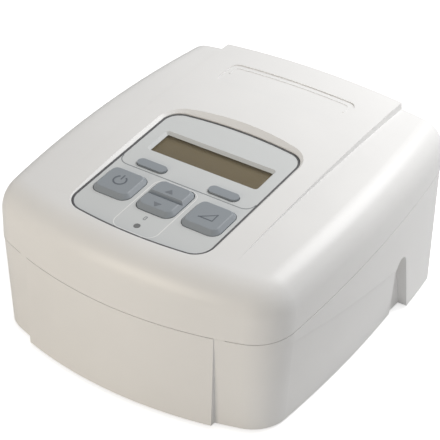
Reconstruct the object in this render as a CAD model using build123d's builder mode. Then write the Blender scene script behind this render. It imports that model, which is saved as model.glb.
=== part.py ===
from build123d import *
import math
import os

os.makedirs("parts", exist_ok=True)

# A bedside bilevel breathing machine. Millimetres, +Z up, +X to the right of someone who faces
# its front, front towards -Y. The origin is on the table, under the middle of the machine and
# its air outlet together. Places are given from the middle of the case, "body_frame" below.

# Case: plan shape
body_width = 160.0
body_depth = 166.0
rear_narrowing = 10.6
front_narrowing = 7.0
front_bow = 15.5
front_corner_radius = 21.0
rear_corner_radius = 6.0
wall = 2.6

# Case: heights above the table
foot_height = 1.5
plateau_edge_height = 90.9
plateau_step = 3.4
plateau_width = 99.4
plateau_side_run = 0.6
plateau_side_drop = 4.0
plateau_front_gap = 18.0
top_fall = 0.03
top_bend_radius = 1296.0
crown_radius = 480.0
top_edge_radius = 15.0
surface_gap = 0.01
parting_slope = 5.1
parting_collar_gap = 1.6
parting_gap = 0.3
tongue_height = 2.0
tongue_thickness = 1.2
tongue_clearance = 0.1

# Lower case: drafted sides beside a proud front panel, and the docking slots
front_panel_width = 102.0
side_relief_depth = 2.6
side_relief_step = 0.3
overcut = 0.2
side_relief_top = 38.2
side_relief_slope = 8.6
side_relief_middle_pull = 1.2
side_relief_rear_pull = 2.6
dock_slot_width = 10.4
dock_slot_setback = 36.0
dock_slot_top = 37.2
dock_slot_lean = 12.0
dock_slot_depth = 5.2
dock_slot_backing = 2.2

# Screws and feet
screw_diameter = 3.0
screw_head_diameter = 5.6
screw_head_height = 2.2
screw_cross_length = 3.4
screw_cross_width = 0.8
screw_length = 18.0
screw_grip = 8.0
boss_diameter = 9.0
front_boss_inset = 18.5
front_boss_setback = 29.0
rear_boss_inset = 6.1
rear_boss_setback = 9.0
foot_diameter = 12.0
foot_recess = 1.0
foot_inset = 36.0
front_foot_setback = 26.0
rear_foot_setback = 21.0

# Control panel, measured on its own sloping plane
panel_sink = 0.74
panel_slope = 5.7
panel_half_width = 36.8
panel_setback = 18.4
panel_length = 81.2
panel_front_bow = 3.0
panel_rear_bow = 3.5
panel_corner_radius = 9.0
panel_thickness = 2.4
panel_gap = 0.6
panel_lip_start = 0.3
panel_lip_angle = 45.0
panel_ledge = 1.4
panel_ledge_thickness = 2.2

# Badge recess, left bare
badge_width = 69.5
badge_depth = 18.0
badge_setback = 25.0
badge_corner_radius = 4.0
badge_recess_depth = 0.5

# Display
window_width = 58.0
window_depth = 14.2
window_row = 59.7
window_recess = 1.5
window_bevel = 1.3
window_corner_radius = 0.6
window_lap = 2.0
lens_corner_radius = 1.0
lcd_margin = 1.2
lcd_glass_thickness = 1.8
lcd_frame_thickness = 4.4
lcd_gap = 0.2

# Keys: the rows, like those of window and indicator, are measured from the panel's front edge
key_width = 20.0
key_depth = 19.0
key_row = 22.8
key_pitch = 24.0
key_corner_radius = 4.4
key_rise = 2.1
key_skirt_run = 1.8
key_skirt_start = 0.2
key_edge_radius = 0.8
key_clearance = 0.3
key_flange = 0.9
key_flange_thickness = 0.9
key_flange_play = 0.1
stem_diameter = 6.0
stem_reach = 7.0
softkey_length = 15.6
softkey_width = 4.8
softkey_rise = 0.9
softkey_x = 19.6
softkey_row = 41.0
softkey_stem = 3.0
rocker_depth = 21.8
rocker_row = 24.0
rocker_clearance = 0.45
rocker_body_width = 17.6
rocker_groove = 3.0
rocker_groove_depth = 1.4
rocker_pin_diameter = 1.6
rocker_pin_depth = 3.4
rocker_stem_spread = 13.0
rocker_stem_diameter = 4.6
pin_clearance = 0.05
pin_end_gap = 1.0
ear_thickness = 2.8
ear_gap = 0.35
indicator_diameter = 3.0
indicator_row = 3.0
light_pipe_clearance = 0.1

# Display board and keypad under the panel
display_board_depth = 8.0
board_thickness = 1.6
display_board_side_gap = 2.3
display_board_front_gap = 2.6
display_board_rear_gap = 4.0
keypad_thickness = 0.8
keypad_clearance = 0.6
board_boss_diameter = 5.0
board_screw_diameter = 2.0
board_screw_length = 6.0
board_screw_head = 3.8
board_screw_head_height = 1.2
board_hole_inset = 3.6
board_corner_radius = 2.0

# Air box: the acoustic enclosure that holds the blower
air_box_side_gap = 13.0
air_box_rear_gap = 17.0
air_box_length = 86.0
air_box_headroom = 20.9
air_box_wall = 2.0
air_box_seal = 1.0
foam_thickness = 3.0
fit_gap = 0.4

# Blower
blower_setback = 42.0
blower_drop = 1.25
outlet_inset = 24.7
volute_radius = 36.0
volute_inner_height = 20.0
volute_wall = 2.0
inlet_eye_diameter = 26.0
impeller_diameter = 54.0
impeller_height = 12.0
impeller_blades = 11
hub_diameter = 16.0
hub_height = 9.0
impeller_plate = 1.6
impeller_sweep = 50.0
shaft_diameter = 4.0
shaft_clearance = 0.03
shaft_end_gap = 0.5
bearing_diameter = 11.0
bearing_width = 4.0
motor_diameter = 44.0
motor_length = 21.0
duct_gap = 10.0
motor_wall = 1.4
stator_inner_diameter = 24.0
stator_poles = 9
pole_width = 3.2
coil_thickness = 1.2
coil_end_gap = 1.5
stator_ring = 4.0
stator_height = 10.0
rotor_diameter = 23.0
rotor_height = 11.0
mount_diameter = 9.0
mount_height = 9.0
mount_waist_diameter = 6.0
mount_waist_height = 1.8
mount_count = 3
mount_circle = 60.0

# Outlet
port_diameter = 22.0
port_bore = 19.0
port_length = 20.0
collar_diameter = 34.0
collar_length = 8.0
port_flange_diameter = 29.0
port_flange_thickness = 2.0
port_step = 0.3
boot_wall = 2.0
boot_rib = 0.8
boot_lap = 5.0

# Air inlet on the rear face
filter_inset = 34.7
filter_height = 39.0
filter_width = 36.0
filter_tall = 32.0
filter_frame_wall = 1.6
foam_filter_thickness = 7.0
fine_filter_thickness = 2.5
filter_gap = 0.4
door_thickness = 2.2
door_gap = 0.4
door_pin_diameter = 1.6
door_pin_length = 1.8
door_grip_radius = 1.3
door_slot_count = 7
door_slot_width = 2.4
door_slot_pitch = 4.0

# Sockets on the rear face
socket_height = 15.0
mains_x = 22.0
mains_width = 26.0
mains_tall = 15.0
mains_depth = 15.0
mains_rim = 1.4
mains_socket_width = 16.0
mains_socket_tall = 8.6
mains_pin_diameter = 2.4
mains_pin_pitch = 8.6
jack_x = -2.0
jack_size = 11.0
jack_depth = 13.0
jack_bore = 5.6
jack_nose = 8.0
jack_pin_diameter = 2.0
data_x = -20.0
data_width = 16.0
data_tall = 12.0
data_depth = 14.0
data_nose_width = 13.7
data_nose_tall = 9.2
data_opening_width = 11.7
data_opening_tall = 7.2
socket_floor = 2.0
socket_gap = 0.2

# Boards in the lower case
board_setback = 14.0
board_box_gap = 5.0
board_boss_gap = 3.5
board_spacing = 3.0
board_height = 14.0
post_diameter = 6.0
transformer_width = 24.0
transformer_corner_radius = 1.0
bobbin_end_gap = 10.0
core_end_step = 2.4
core_height = 16.8
bobbin_width = 12.0
bobbin_lift = 3.6
bobbin_height = 9.6
capacitor_diameter = 16.0
capacitor_height = 25.0
capacitor_gap = 1.0
chip_size = 14.0
sensor_size = 9.0
sensor_height = 5.4
sensor_nipple_diameter = 4.0
sensor_nipple_length = 6.3

# Cables
ribbon_width = 16.0
ribbon_thickness = 0.8
ribbon_bend = 3.0
ribbon_x = -24.0
ribbon_turn_height = 40.0
ribbon_row = 17.0
ribbon_socket_depth = 5.0
ribbon_socket_height = 3.0
ribbon_socket_wall = 2.0
lead_diameter = 3.2
lead_x = 14.0
lead_height = 18.0

# Everything the machine needs behind its rear face decides where the origin lies.
port_reach = collar_length + port_length
body_y = -port_reach / 2
body_frame = Plane(origin=(0, body_y, 0))
case_bottom = foot_height
case_floor = case_bottom + wall
rear_width = body_width - rear_narrowing
front_corner_width = body_width - front_narrowing
rear_face = body_depth / 2
rear_inside = rear_face - wall
front_face = -rear_face

# Air box and blower. The blower stands about midway between the box's floor and its foam, and
# the outlet is level with it.
air_box_width = body_width - 2 * air_box_side_gap
air_box_rear = rear_face - air_box_rear_gap
air_box_front = air_box_rear - air_box_length
air_box_top = plateau_edge_height - air_box_headroom
box_low = case_floor + fit_gap
blower_height = motor_length + volute_inner_height + 2 * volute_wall
blower_room_low = box_low + air_box_wall
blower_room_high = air_box_top - air_box_wall - foam_thickness
motor_low = (blower_room_low + blower_room_high - blower_height) / 2 - blower_drop
volute_low = motor_low + motor_length
outlet_height = volute_low + volute_wall + volute_inner_height / 2
volute_high = outlet_height + volute_inner_height / 2 + volute_wall
outlet_x = rear_width / 2 - outlet_inset
filter_x = filter_inset - rear_width / 2
blower_y = air_box_rear - blower_setback
duct_end = air_box_rear - duct_gap
spigot_length = rear_inside - port_flange_thickness - boot_lap - fit_gap - air_box_rear

# The seam between the two shells passes just over the outlet's collar.
parting_rise = math.tan(math.radians(parting_slope))
parting_height = outlet_height + collar_diameter / 2 + parting_collar_gap - rear_face * parting_rise
parting_plane = body_frame.offset(parting_height).rotated((parting_slope, 0, 0))

# The top is level behind the case, at the point where its circle fore and aft has its summit.
# The shoulders fall less, so that the step beside the raised middle fades towards the front.
plateau_level_y = rear_face + top_fall * top_bend_radius
plateau_summit = plateau_edge_height + top_fall**2 * top_bend_radius / 2
plateau_fade = body_depth - plateau_front_gap
shoulder_fall = top_fall - plateau_step / plateau_fade
shoulder_level_y = rear_face + shoulder_fall * top_bend_radius
shoulder_edge = plateau_edge_height - plateau_step + shoulder_fall**2 * top_bend_radius / 2
plateau_fall = top_bend_radius - math.sqrt(top_bend_radius**2 - plateau_level_y**2)
panel_height = plateau_summit - plateau_fall - panel_sink
panel_plane = body_frame.offset(panel_height).rotated((panel_slope, 0, 0))

# Rows on the panel, from its front edge.
panel_front = front_face + panel_setback
panel_rear = panel_front + panel_length
window_y = panel_front + window_row
key_y = panel_front + key_row
rocker_y = panel_front + rocker_row
softkey_y = panel_front + softkey_row
indicator_y = panel_front + indicator_row
ribbon_socket_y = panel_front + ribbon_row
display_board_width = 2 * (panel_half_width - display_board_side_gap)
display_board_front = panel_front + display_board_front_gap
display_board_rear = panel_rear - display_board_rear_gap
badge_y = rear_face - badge_setback

box_middle_y = (air_box_front + air_box_rear) / 2

# Screws, feet, docking slots and boards in the lower case.
front_boss_x = body_width / 2 - front_boss_inset
front_boss_y = front_face + front_boss_setback
rear_boss_x = rear_width / 2 - rear_boss_inset
rear_boss_y = rear_face - rear_boss_setback
foot_x = body_width / 2 - foot_inset
front_foot_y = front_face + front_foot_setback
rear_foot_y = rear_face - rear_foot_setback
dock_slot_y = rear_face - dock_slot_setback
board_width = front_boss_x - boss_diameter / 2 - board_boss_gap - board_spacing / 2
board_front = front_face + board_setback
board_rear = air_box_front - board_box_gap
board_depth = board_rear - board_front
board_y = (board_front + board_rear) / 2
bobbin_depth = board_depth - 2 * bobbin_end_gap
core_depth = bobbin_depth - 2 * core_end_step


def front_view(y):
    """The upright plane at y that is seen from the front, with local x and z."""
    return Plane(origin=(0, body_y + y, 0), x_dir=(1, 0, 0), z_dir=(0, -1, 0))


def side_view(x):
    """The upright plane at x that is seen from the right, with local y and z."""
    return Plane(origin=(x, body_y, 0), x_dir=(0, 1, 0), z_dir=(1, 0, 0))


def case_outline(
    plane, inset=0.0, stretch=1.0, rear_radius=rear_corner_radius, middle_pull=0.0, rear_pull=0.0
):
    """The case's plan: bowed front and sides, flat rear. Stretch is for a sloping plane, and the
    two pulls draw the sides further in at their middle and rear."""
    corner = (front_corner_width / 2, (front_face + front_bow) * stretch)
    side_middle = (body_width / 2 - middle_pull, 0)
    side_rear = (rear_width / 2 - rear_pull, rear_face * stretch)
    with BuildSketch(plane) as outline:
        with BuildLine(mode=Mode.PRIVATE):
            front_arc = ThreePointArc((-corner[0], corner[1]), (0, front_face * stretch), corner)
            side_arc = ThreePointArc(corner, side_middle, side_rear)
        with Locations((0, front_arc.arc_center.Y)):
            Circle(front_arc.radius - inset)
        for side in (-1, 1):
            with Locations((side * side_arc.arc_center.X, side_arc.arc_center.Y)):
                Circle(side_arc.radius - inset, mode=Mode.INTERSECT)
        with Locations((0, rear_face * stretch - inset)):
            Rectangle(2 * body_width, 2 * body_depth, align=(Align.CENTER, Align.MAX), mode=Mode.INTERSECT)
        fillet(outline.vertices().group_by(Axis.Y)[0], front_corner_radius - inset)
        if rear_radius > inset:
            fillet(outline.vertices().group_by(Axis.Y)[-1], rear_radius - inset)
    return outline.sketch


def crowned_block(edge_height, level_y, half_width, side_run, side_drop, low):
    """A block whose top is crowned across and bends gently down towards the front."""
    center_height = edge_height - top_bend_radius
    crown = crown_radius - math.sqrt(crown_radius**2 - half_width**2)
    with BuildPart() as block:
        with BuildSketch(front_view(level_y)):
            with BuildLine():
                foot = half_width + side_run
                Polyline(
                    (half_width, edge_height),
                    (foot, edge_height - side_drop),
                    (foot, low),
                    (-foot, low),
                    (-foot, edge_height - side_drop),
                    (-half_width, edge_height),
                )
                ThreePointArc(
                    (-half_width, edge_height), (0, edge_height + crown), (half_width, edge_height)
                )
            make_face()
        axis = Axis((0, body_y + level_y, center_height), (1, 0, 0))
        reach = level_y - front_face + wall
        revolve(axis=axis, revolution_arc=math.degrees(math.asin(reach / (low - center_height))))
    return block.part


shoulder_half_width = body_width / 2 + wall
shoulder_edge_run = wall / 4
plateau_half_width = plateau_width / 2
shoulder_drop = (shoulder_half_width**2 - plateau_half_width**2) / (2 * crown_radius)
block_low = parting_height / 2


def cover_shape(inset):
    """The solid inside the top cover's outer skin, moved inwards by inset."""
    with BuildPart() as shape:
        add(case_outline(body_frame.offset(block_low + wall / 2), inset, rear_radius=0))
        extrude(amount=plateau_edge_height)
        shoulder = crowned_block(
            shoulder_edge - shoulder_drop - inset,
            shoulder_level_y,
            shoulder_half_width,
            shoulder_edge_run,
            shoulder_edge_run,
            block_low,
        )
        add(shoulder, mode=Mode.INTERSECT)
        top = shape.faces().sort_by(Axis.Z)[-1]
        rear_limit = body_y + rear_face - inset - wall / 2
        soft_edges = top.edges().filter_by(lambda edge: edge.center().Y < rear_limit)
        fillet(soft_edges, top_edge_radius - inset)
    return shape.part


def plateau_shape(inset):
    """The raised, crowned middle of the top, which fades into the shoulders at the front."""
    with BuildPart() as shape:
        add(case_outline(body_frame.offset(block_low + wall / 2), inset + surface_gap, rear_radius=0))
        extrude(amount=plateau_edge_height)
        raised = crowned_block(
            plateau_summit - inset,
            plateau_level_y,
            plateau_half_width - inset,
            plateau_side_run,
            plateau_side_drop,
            block_low,
        )
        add(raised, mode=Mode.INTERSECT)
        fade_plane = Plane(origin=(0, body_y + rear_face - plateau_fade, 0), z_dir=(0, 1, 0))
        split(bisect_by=fade_plane, keep=Keep.TOP)
    return shape.part


def screw_places():
    """The four case screws: x, y and the height where each head is seated."""
    places = []
    for x, y in ((front_boss_x, front_boss_y), (rear_boss_x, rear_boss_y)):
        for side in (-1, 1):
            places.append((side * x, y, parting_at(y) - screw_grip))
    return places


def screw_cylinders(radius, below, above):
    """A cylinder on each case screw, from below its seat to above it."""
    with BuildPart(body_frame) as cylinders:
        for x, y, seat in screw_places():
            with Locations((x, y, seat - below)):
                Cylinder(radius, below + above, align=(Align.CENTER, Align.CENTER, Align.MIN))
    return cylinders.part


def parting_at(y):
    """Height of the parting line at y from the middle of the case."""
    return parting_height + y * parting_rise


def panel_outline(grow=0.0):
    """The control panel's outline on its plane, made larger by grow."""
    with BuildSketch() as outline:
        Rectangle(2 * (panel_half_width + grow), 2 * body_depth)
        for y, bow in ((panel_front, -panel_front_bow), (panel_rear, panel_rear_bow)):
            radius = (panel_half_width**2 + bow**2) / (2 * abs(bow))
            with Locations((0, y + bow - math.copysign(radius, bow))):
                Circle(radius + grow, mode=Mode.INTERSECT)
        fillet(outline.vertices(), panel_corner_radius + grow)
    return outline.sketch


def panel_sketch(depth, shape):
    """A flat shape moved to the panel's plane, at a height above it."""
    return panel_plane.offset(depth) * shape


def rounded_box(width, depth, x, y, radius):
    """A rounded rectangle, drawn flat for the panel plane."""
    with BuildSketch() as shape:
        with Locations((x, y)):
            RectangleRounded(width, depth, radius)
    return shape.sketch


def slot_shape(length, width, x, y):
    """A slot with round ends, drawn flat for the panel plane."""
    with BuildSketch() as shape:
        with Locations((x, y)):
            SlotOverall(length, width)
    return shape.sketch


power_x, ramp_x = -key_pitch, key_pitch
board_low = -display_board_depth - board_thickness
board_hole_x = display_board_width / 2 - board_hole_inset
board_hole_ys = (display_board_front + board_hole_inset, display_board_rear - board_hole_inset)

board_holes = [(side * board_hole_x, y) for side in (-1, 1) for y in board_hole_ys]
foot_places = [(side * foot_x, y) for side in (-1, 1) for y in (front_foot_y, rear_foot_y)]
main_board_x = -(board_width + board_spacing) / 2
supply_board_x = (board_width + board_spacing) / 2
board_posts = [
    (x + side * (board_width / 2 - board_hole_inset), board_y + end * (board_depth / 2 - board_hole_inset))
    for x in (main_board_x, supply_board_x)
    for side in (-1, 1)
    for end in (-1, 1)
]
box_posts = [
    (side * (air_box_width / 2 - post_diameter), box_middle_y + end * air_box_length / 3)
    for side in (-1, 1)
    for end in (-1, 1)
]


def rocker_pin_shape(radius, length):
    """A pin across the panel, under the middle of the rocker."""
    with BuildPart() as pin:
        pin_center = panel_plane.from_local_coords((0, rocker_y, -rocker_pin_depth))
        with BuildSketch(Plane(origin=pin_center, x_dir=(0, 1, 0), z_dir=(1, 0, 0))):
            Circle(radius)
        extrude(amount=length / 2, both=True)
    return pin.part


# Top cover: the ivory upper shell, with the raised middle and the sunk seat of the panel.
with BuildPart() as cover_cavity:
    add(cover_shape(wall))
    add(screw_cylinders(boss_diameter / 2, screw_grip, body_depth), mode=Mode.SUBTRACT)
with BuildPart() as groove:
    add(case_outline(body_frame.offset(block_low), wall - tongue_thickness - tongue_clearance))
    extrude(amount=2 * plateau_edge_height)
    split(bisect_by=parting_plane.offset(tongue_height + tongue_clearance), keep=Keep.BOTTOM)
# A bare, shallow recess for a badge, whose floor runs parallel to the crowned top.
with BuildPart() as badge_recess:
    with BuildSketch(body_frame.offset(parting_height)):
        with Locations((0, badge_y)):
            RectangleRounded(badge_width, badge_depth, badge_corner_radius)
    extrude(amount=plateau_edge_height)
    badge_floor_edge = plateau_summit - badge_recess_depth
    badge_floor = crowned_block(
        badge_floor_edge,
        plateau_level_y,
        plateau_half_width,
        plateau_side_run,
        plateau_side_drop,
        block_low,
    )
    add(badge_floor, mode=Mode.SUBTRACT)
with BuildPart() as top_cover:
    add(cover_shape(0))
    add(plateau_shape(0))
    add(case_outline(body_frame.offset(block_low - wall)))
    extrude(amount=2 * plateau_edge_height, mode=Mode.INTERSECT)
    add(cover_cavity.part, mode=Mode.SUBTRACT)
    # The panel's seat, its bevelled lip, and the opening for keys and display.
    add(panel_sketch(-panel_thickness - panel_ledge_thickness, panel_outline(panel_gap + wall)))
    extrude(amount=panel_ledge_thickness + panel_thickness)
    add(groove.part, mode=Mode.SUBTRACT)
    add(panel_sketch(-panel_thickness, panel_outline(panel_gap)))
    extrude(amount=wall + panel_thickness + plateau_side_drop, mode=Mode.SUBTRACT)
    add(panel_sketch(panel_lip_start, panel_outline(panel_gap)))
    extrude(amount=2 * wall, taper=-panel_lip_angle, mode=Mode.SUBTRACT)
    add(panel_sketch(-display_board_depth, panel_outline(-panel_ledge)))
    extrude(amount=display_board_depth, mode=Mode.SUBTRACT)
    add(badge_recess.part, mode=Mode.SUBTRACT)
    split(bisect_by=parting_plane.offset(parting_gap), keep=Keep.TOP)
    screw_holes = screw_cylinders(screw_diameter / 2 + pin_clearance, 0, screw_length + pin_end_gap)
    add(screw_holes, mode=Mode.SUBTRACT)
top_cover.part.label = "top_cover"
export_step(top_cover.part, "parts/top_cover.step")

# Lower case: the tub, with drafted sides beside a proud front panel, docking slots, screw posts,
# the filter's frame, the outlet's collar and the openings for the sockets.
relief_plane = body_frame.offset(side_relief_top).rotated((-side_relief_slope, 0, 0))
relief_stretch = 1 / math.cos(math.radians(side_relief_slope))
dock_backing_half = dock_slot_width / 2 + dock_slot_backing
dock_side_x = body_width / 2 - (body_width - rear_width) / 2 * (dock_slot_y / rear_face) ** 2
dock_floor_x = dock_side_x - dock_slot_depth


def dock_slot_shape(grow=0.0):
    """The docking slot from the side: round at its top, and leaning forwards as it rises."""
    with BuildSketch() as shape:
        with Locations((dock_slot_y, 0)):
            length = 2 * dock_slot_top - dock_slot_width
            SlotCenterToCenter(length, dock_slot_width + 2 * grow, rotation=90 + dock_slot_lean)
    return shape.sketch


def drafted_core(inset, low):
    """The case below the relief plane, drafted on every side."""
    pulls = {"middle_pull": side_relief_middle_pull, "rear_pull": side_relief_rear_pull}
    with BuildPart() as core:
        add(case_outline(relief_plane, inset + side_relief_step, relief_stretch))
        add(case_outline(body_frame.offset(low), inset + side_relief_depth, **pulls))
        loft(ruled=True)
    return core.part


def relief_shell(inset, low, edge_x, end_y):
    """What lies outside the drafted core: below the relief plane, beside the front panel, and in
    front of the docking slots' middle."""
    with BuildPart() as shell:
        add(case_outline(body_frame.offset(low + overcut / 2), inset=-wall))
        extrude(amount=body_depth / 2)
        split(bisect_by=relief_plane.offset(-surface_gap), keep=Keep.BOTTOM)
        add(drafted_core(inset, low), mode=Mode.SUBTRACT)
        with BuildSketch(body_frame):
            with Locations((-edge_x - body_width / 2, 0), (edge_x + body_width / 2, 0)):
                Rectangle(body_width, 2 * body_depth)
        extrude(amount=body_depth, mode=Mode.INTERSECT)
        split(bisect_by=front_view(end_y).rotated((dock_slot_lean, 0, 0)), keep=Keep.TOP)
    return shell.part


with BuildPart() as lower_cavity:
    add(case_outline(body_frame.offset(case_floor), wall))
    extrude(amount=plateau_edge_height)
    backing_end = dock_slot_y + dock_backing_half
    backing = relief_shell(wall, case_floor - overcut, front_panel_width / 2 - wall, backing_end)
    add(backing, mode=Mode.SUBTRACT)
    add(screw_cylinders(boss_diameter / 2, body_depth, screw_grip), mode=Mode.SUBTRACT)
    for side in (-1, 1):
        with BuildSketch(side_view(side * (dock_floor_x - dock_slot_backing))):
            add(dock_slot_shape(dock_slot_backing))
        extrude(amount=side * body_width, mode=Mode.SUBTRACT)

filter_outer_width = filter_width + 2 * filter_frame_wall
filter_outer_tall = filter_tall + 2 * filter_frame_wall
filter_frame_depth = rear_face - air_box_rear - filter_gap
door_pin_height = filter_height - filter_tall / 2 + door_gap + door_thickness / 2
door_pin_y = rear_face - door_thickness / 2
port_radius = port_diameter / 2
mains_body_width = mains_width - 2 * mains_rim
mains_body_tall = mains_tall - 2 * mains_rim
rear_view = front_view(rear_face)
# Above the parting line only the tongue is left, which the cover's groove drops over.
with BuildPart() as outside_tongue:
    with BuildSketch(body_frame.offset(block_low)):
        Rectangle(2 * body_width, 2 * body_depth)
        add(case_outline(Plane.XY, wall - tongue_thickness), mode=Mode.SUBTRACT)
    extrude(amount=plateau_edge_height)
    split(bisect_by=parting_plane, keep=Keep.TOP)
with BuildPart() as lower_case:
    add(case_outline(body_frame.offset(case_bottom)))
    extrude(amount=plateau_edge_height)
    relief = relief_shell(0, case_bottom - overcut, front_panel_width / 2, dock_slot_y)
    add(relief, mode=Mode.SUBTRACT)
    add(lower_cavity.part, mode=Mode.SUBTRACT)
    add(outside_tongue.part, mode=Mode.SUBTRACT)
    split(bisect_by=parting_plane.offset(tongue_height), keep=Keep.BOTTOM)
    # Docking slots, open at the bottom.
    for side in (-1, 1):
        with BuildSketch(side_view(side * dock_floor_x)):
            add(dock_slot_shape())
        extrude(amount=side * body_width, mode=Mode.SUBTRACT)
    # The outlet's collar and its hole.
    with BuildSketch(front_view(rear_face + collar_length)):
        with Locations((outlet_x, outlet_height)):
            Circle(collar_diameter / 2)
    extrude(amount=collar_length + wall)
    with BuildSketch(front_view(rear_face + collar_length)):
        with Locations((outlet_x, outlet_height)):
            Circle(port_radius + port_step + socket_gap)
    extrude(amount=collar_length + wall, mode=Mode.SUBTRACT)
    # The filter's frame behind the rear wall, and the doorway through the wall.
    with BuildSketch(front_view(rear_inside + wall / 2)):
        with Locations((filter_x, filter_height)):
            Rectangle(filter_outer_width, filter_outer_tall)
    extrude(amount=filter_frame_depth - wall / 2)
    with BuildSketch(rear_view):
        with Locations((filter_x, filter_height)):
            Rectangle(filter_width, filter_tall)
    extrude(amount=filter_frame_depth, mode=Mode.SUBTRACT)
    with BuildSketch(side_view(filter_x)):
        with Locations((door_pin_y, door_pin_height)):
            Circle(door_pin_diameter / 2 + pin_clearance)
    extrude(amount=filter_width / 2 + door_pin_length + door_gap, both=True, mode=Mode.SUBTRACT)
    # Openings for the three sockets.
    with BuildSketch(rear_view):
        with Locations((mains_x, socket_height)):
            Rectangle(mains_body_width + 2 * socket_gap, mains_body_tall + 2 * socket_gap)
        with Locations((jack_x, socket_height)):
            Circle(jack_nose / 2 + socket_gap)
        with Locations((data_x, socket_height)):
            Rectangle(data_nose_width + 2 * socket_gap, data_nose_tall + 2 * socket_gap)
    extrude(amount=2 * wall, mode=Mode.SUBTRACT)
    # Posts under the two boards and under the air box.
    for x, y in board_posts + box_posts:
        with Locations((x, body_y + y, case_floor - wall / 2)):
            height = board_height - case_floor if (x, y) in board_posts else fit_gap
            Cylinder(
                post_diameter / 2, height + wall / 2, align=(Align.CENTER, Align.CENTER, Align.MIN)
            )
    for x, y in board_posts:
        with Locations((x, body_y + y, board_height)):
            Hole(board_screw_diameter / 2 + pin_clearance, board_screw_length)
    # Screw holes from below: a wide well up to the head, a close hole above it.
    add(screw_cylinders(screw_diameter / 2 + 2 * pin_clearance, 0, 2 * screw_grip), mode=Mode.SUBTRACT)
    well = screw_cylinders(screw_head_diameter / 2 + fit_gap, body_depth, 0)
    add(well, mode=Mode.SUBTRACT)
    # Round recesses for the feet.
    with BuildSketch(body_frame.offset(case_bottom)):
        with Locations(*foot_places):
            Circle(foot_diameter / 2 + pin_clearance)
    extrude(amount=foot_recess, mode=Mode.SUBTRACT)
lower_case.part.label = "lower_case"
export_step(lower_case.part, "parts/lower_case.step")

with BuildPart() as rubber_feet:
    with BuildSketch(body_frame):
        with Locations(*foot_places):
            Circle(foot_diameter / 2)
    extrude(amount=foot_height + foot_recess)
    fillet(rubber_feet.edges().group_by(Axis.Z)[0], foot_recess / 2)
rubber_feet.part.label = "rubber_feet"
export_step(rubber_feet.part, "parts/rubber_feet.step")

with BuildPart(body_frame) as case_screws:
    for x, y, seat in screw_places():
        with Locations((x, y, seat)):
            Cylinder(screw_diameter / 2, screw_length, align=(Align.CENTER, Align.CENTER, Align.MIN))
        with Locations((x, y, seat - screw_head_height)):
            Cylinder(
                screw_head_diameter / 2,
                screw_head_height,
                align=(Align.CENTER, Align.CENTER, Align.MIN),
            )
            for turn in (0, 90):
                Box(
                    screw_cross_length,
                    screw_cross_width,
                    screw_head_height,
                    rotation=(0, 0, turn),
                    mode=Mode.SUBTRACT,
                )
case_screws.part.label = "case_screws"
export_step(case_screws.part, "parts/case_screws.step")

# Control panel: the silver-grey plate with openings for the display, keys and indicator. Under
# it hang the posts of the display board and the two ears of the rocker's pin.
aperture_width = key_width + 2 * key_clearance
with BuildPart() as control_panel:
    add(panel_sketch(-panel_thickness, panel_outline()))
    extrude(amount=panel_thickness)
    window_shape = rounded_box(window_width, window_depth, 0, window_y, window_corner_radius)
    add(panel_sketch(-panel_thickness, window_shape))
    extrude(amount=panel_thickness, mode=Mode.SUBTRACT)
    bevel_angle = math.degrees(math.atan(window_bevel / window_recess))
    add(panel_sketch(-window_recess, window_shape))
    extrude(amount=window_recess, taper=-bevel_angle, mode=Mode.SUBTRACT)
    lens_width, lens_depth = window_width + 2 * window_lap, window_depth + 2 * window_lap
    lens_shape = rounded_box(lens_width, lens_depth, 0, window_y, lens_corner_radius)
    add(panel_sketch(-panel_thickness, lens_shape))
    extrude(amount=panel_thickness - window_recess, mode=Mode.SUBTRACT)
    aperture_radius = key_corner_radius + key_clearance
    for x in (power_x, ramp_x):
        aperture_depth = key_depth + 2 * key_clearance
        key_hole = rounded_box(aperture_width, aperture_depth, x, key_y, aperture_radius)
        add(panel_sketch(-panel_thickness, key_hole))
        extrude(amount=panel_thickness, mode=Mode.SUBTRACT)
    rocker_aperture_depth = rocker_depth + 2 * rocker_clearance
    rocker_hole = rounded_box(aperture_width, rocker_aperture_depth, 0, rocker_y, aperture_radius)
    add(panel_sketch(-panel_thickness, rocker_hole))
    extrude(amount=panel_thickness, mode=Mode.SUBTRACT)
    for x in (-softkey_x, softkey_x):
        softkey_hole = slot_shape(
            softkey_length + 2 * key_clearance, softkey_width + 2 * key_clearance, x, softkey_y
        )
        add(panel_sketch(-panel_thickness, softkey_hole))
        extrude(amount=panel_thickness, mode=Mode.SUBTRACT)
    with BuildSketch(panel_plane.offset(-panel_thickness)):
        with Locations((0, indicator_y)):
            Circle(indicator_diameter / 2 + light_pipe_clearance)
    extrude(amount=panel_thickness, mode=Mode.SUBTRACT)
    with BuildSketch(panel_plane.offset(-display_board_depth)):
        with Locations(*board_holes):
            Circle(board_boss_diameter / 2)
    extrude(amount=display_board_depth - panel_thickness / 2)
    ear_x = rocker_body_width / 2 + ear_gap + ear_thickness / 2
    ear_low = rocker_pin_depth + rocker_pin_diameter
    with BuildSketch(panel_plane.offset(-ear_low)):
        with Locations((-ear_x, rocker_y), (ear_x, rocker_y)):
            Rectangle(ear_thickness, 3 * rocker_pin_diameter)
    extrude(amount=ear_low - panel_thickness)
    add(rocker_pin_shape(rocker_pin_diameter / 2, 2 * ear_x + ear_thickness), mode=Mode.SUBTRACT)
    with BuildSketch(panel_plane.offset(-display_board_depth)):
        with Locations(*board_holes):
            Circle(board_screw_diameter / 2 + pin_clearance)
    extrude(amount=board_screw_length - board_thickness, mode=Mode.SUBTRACT)
control_panel.part.label = "control_panel"
export_step(control_panel.part, "parts/control_panel.step")

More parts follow.
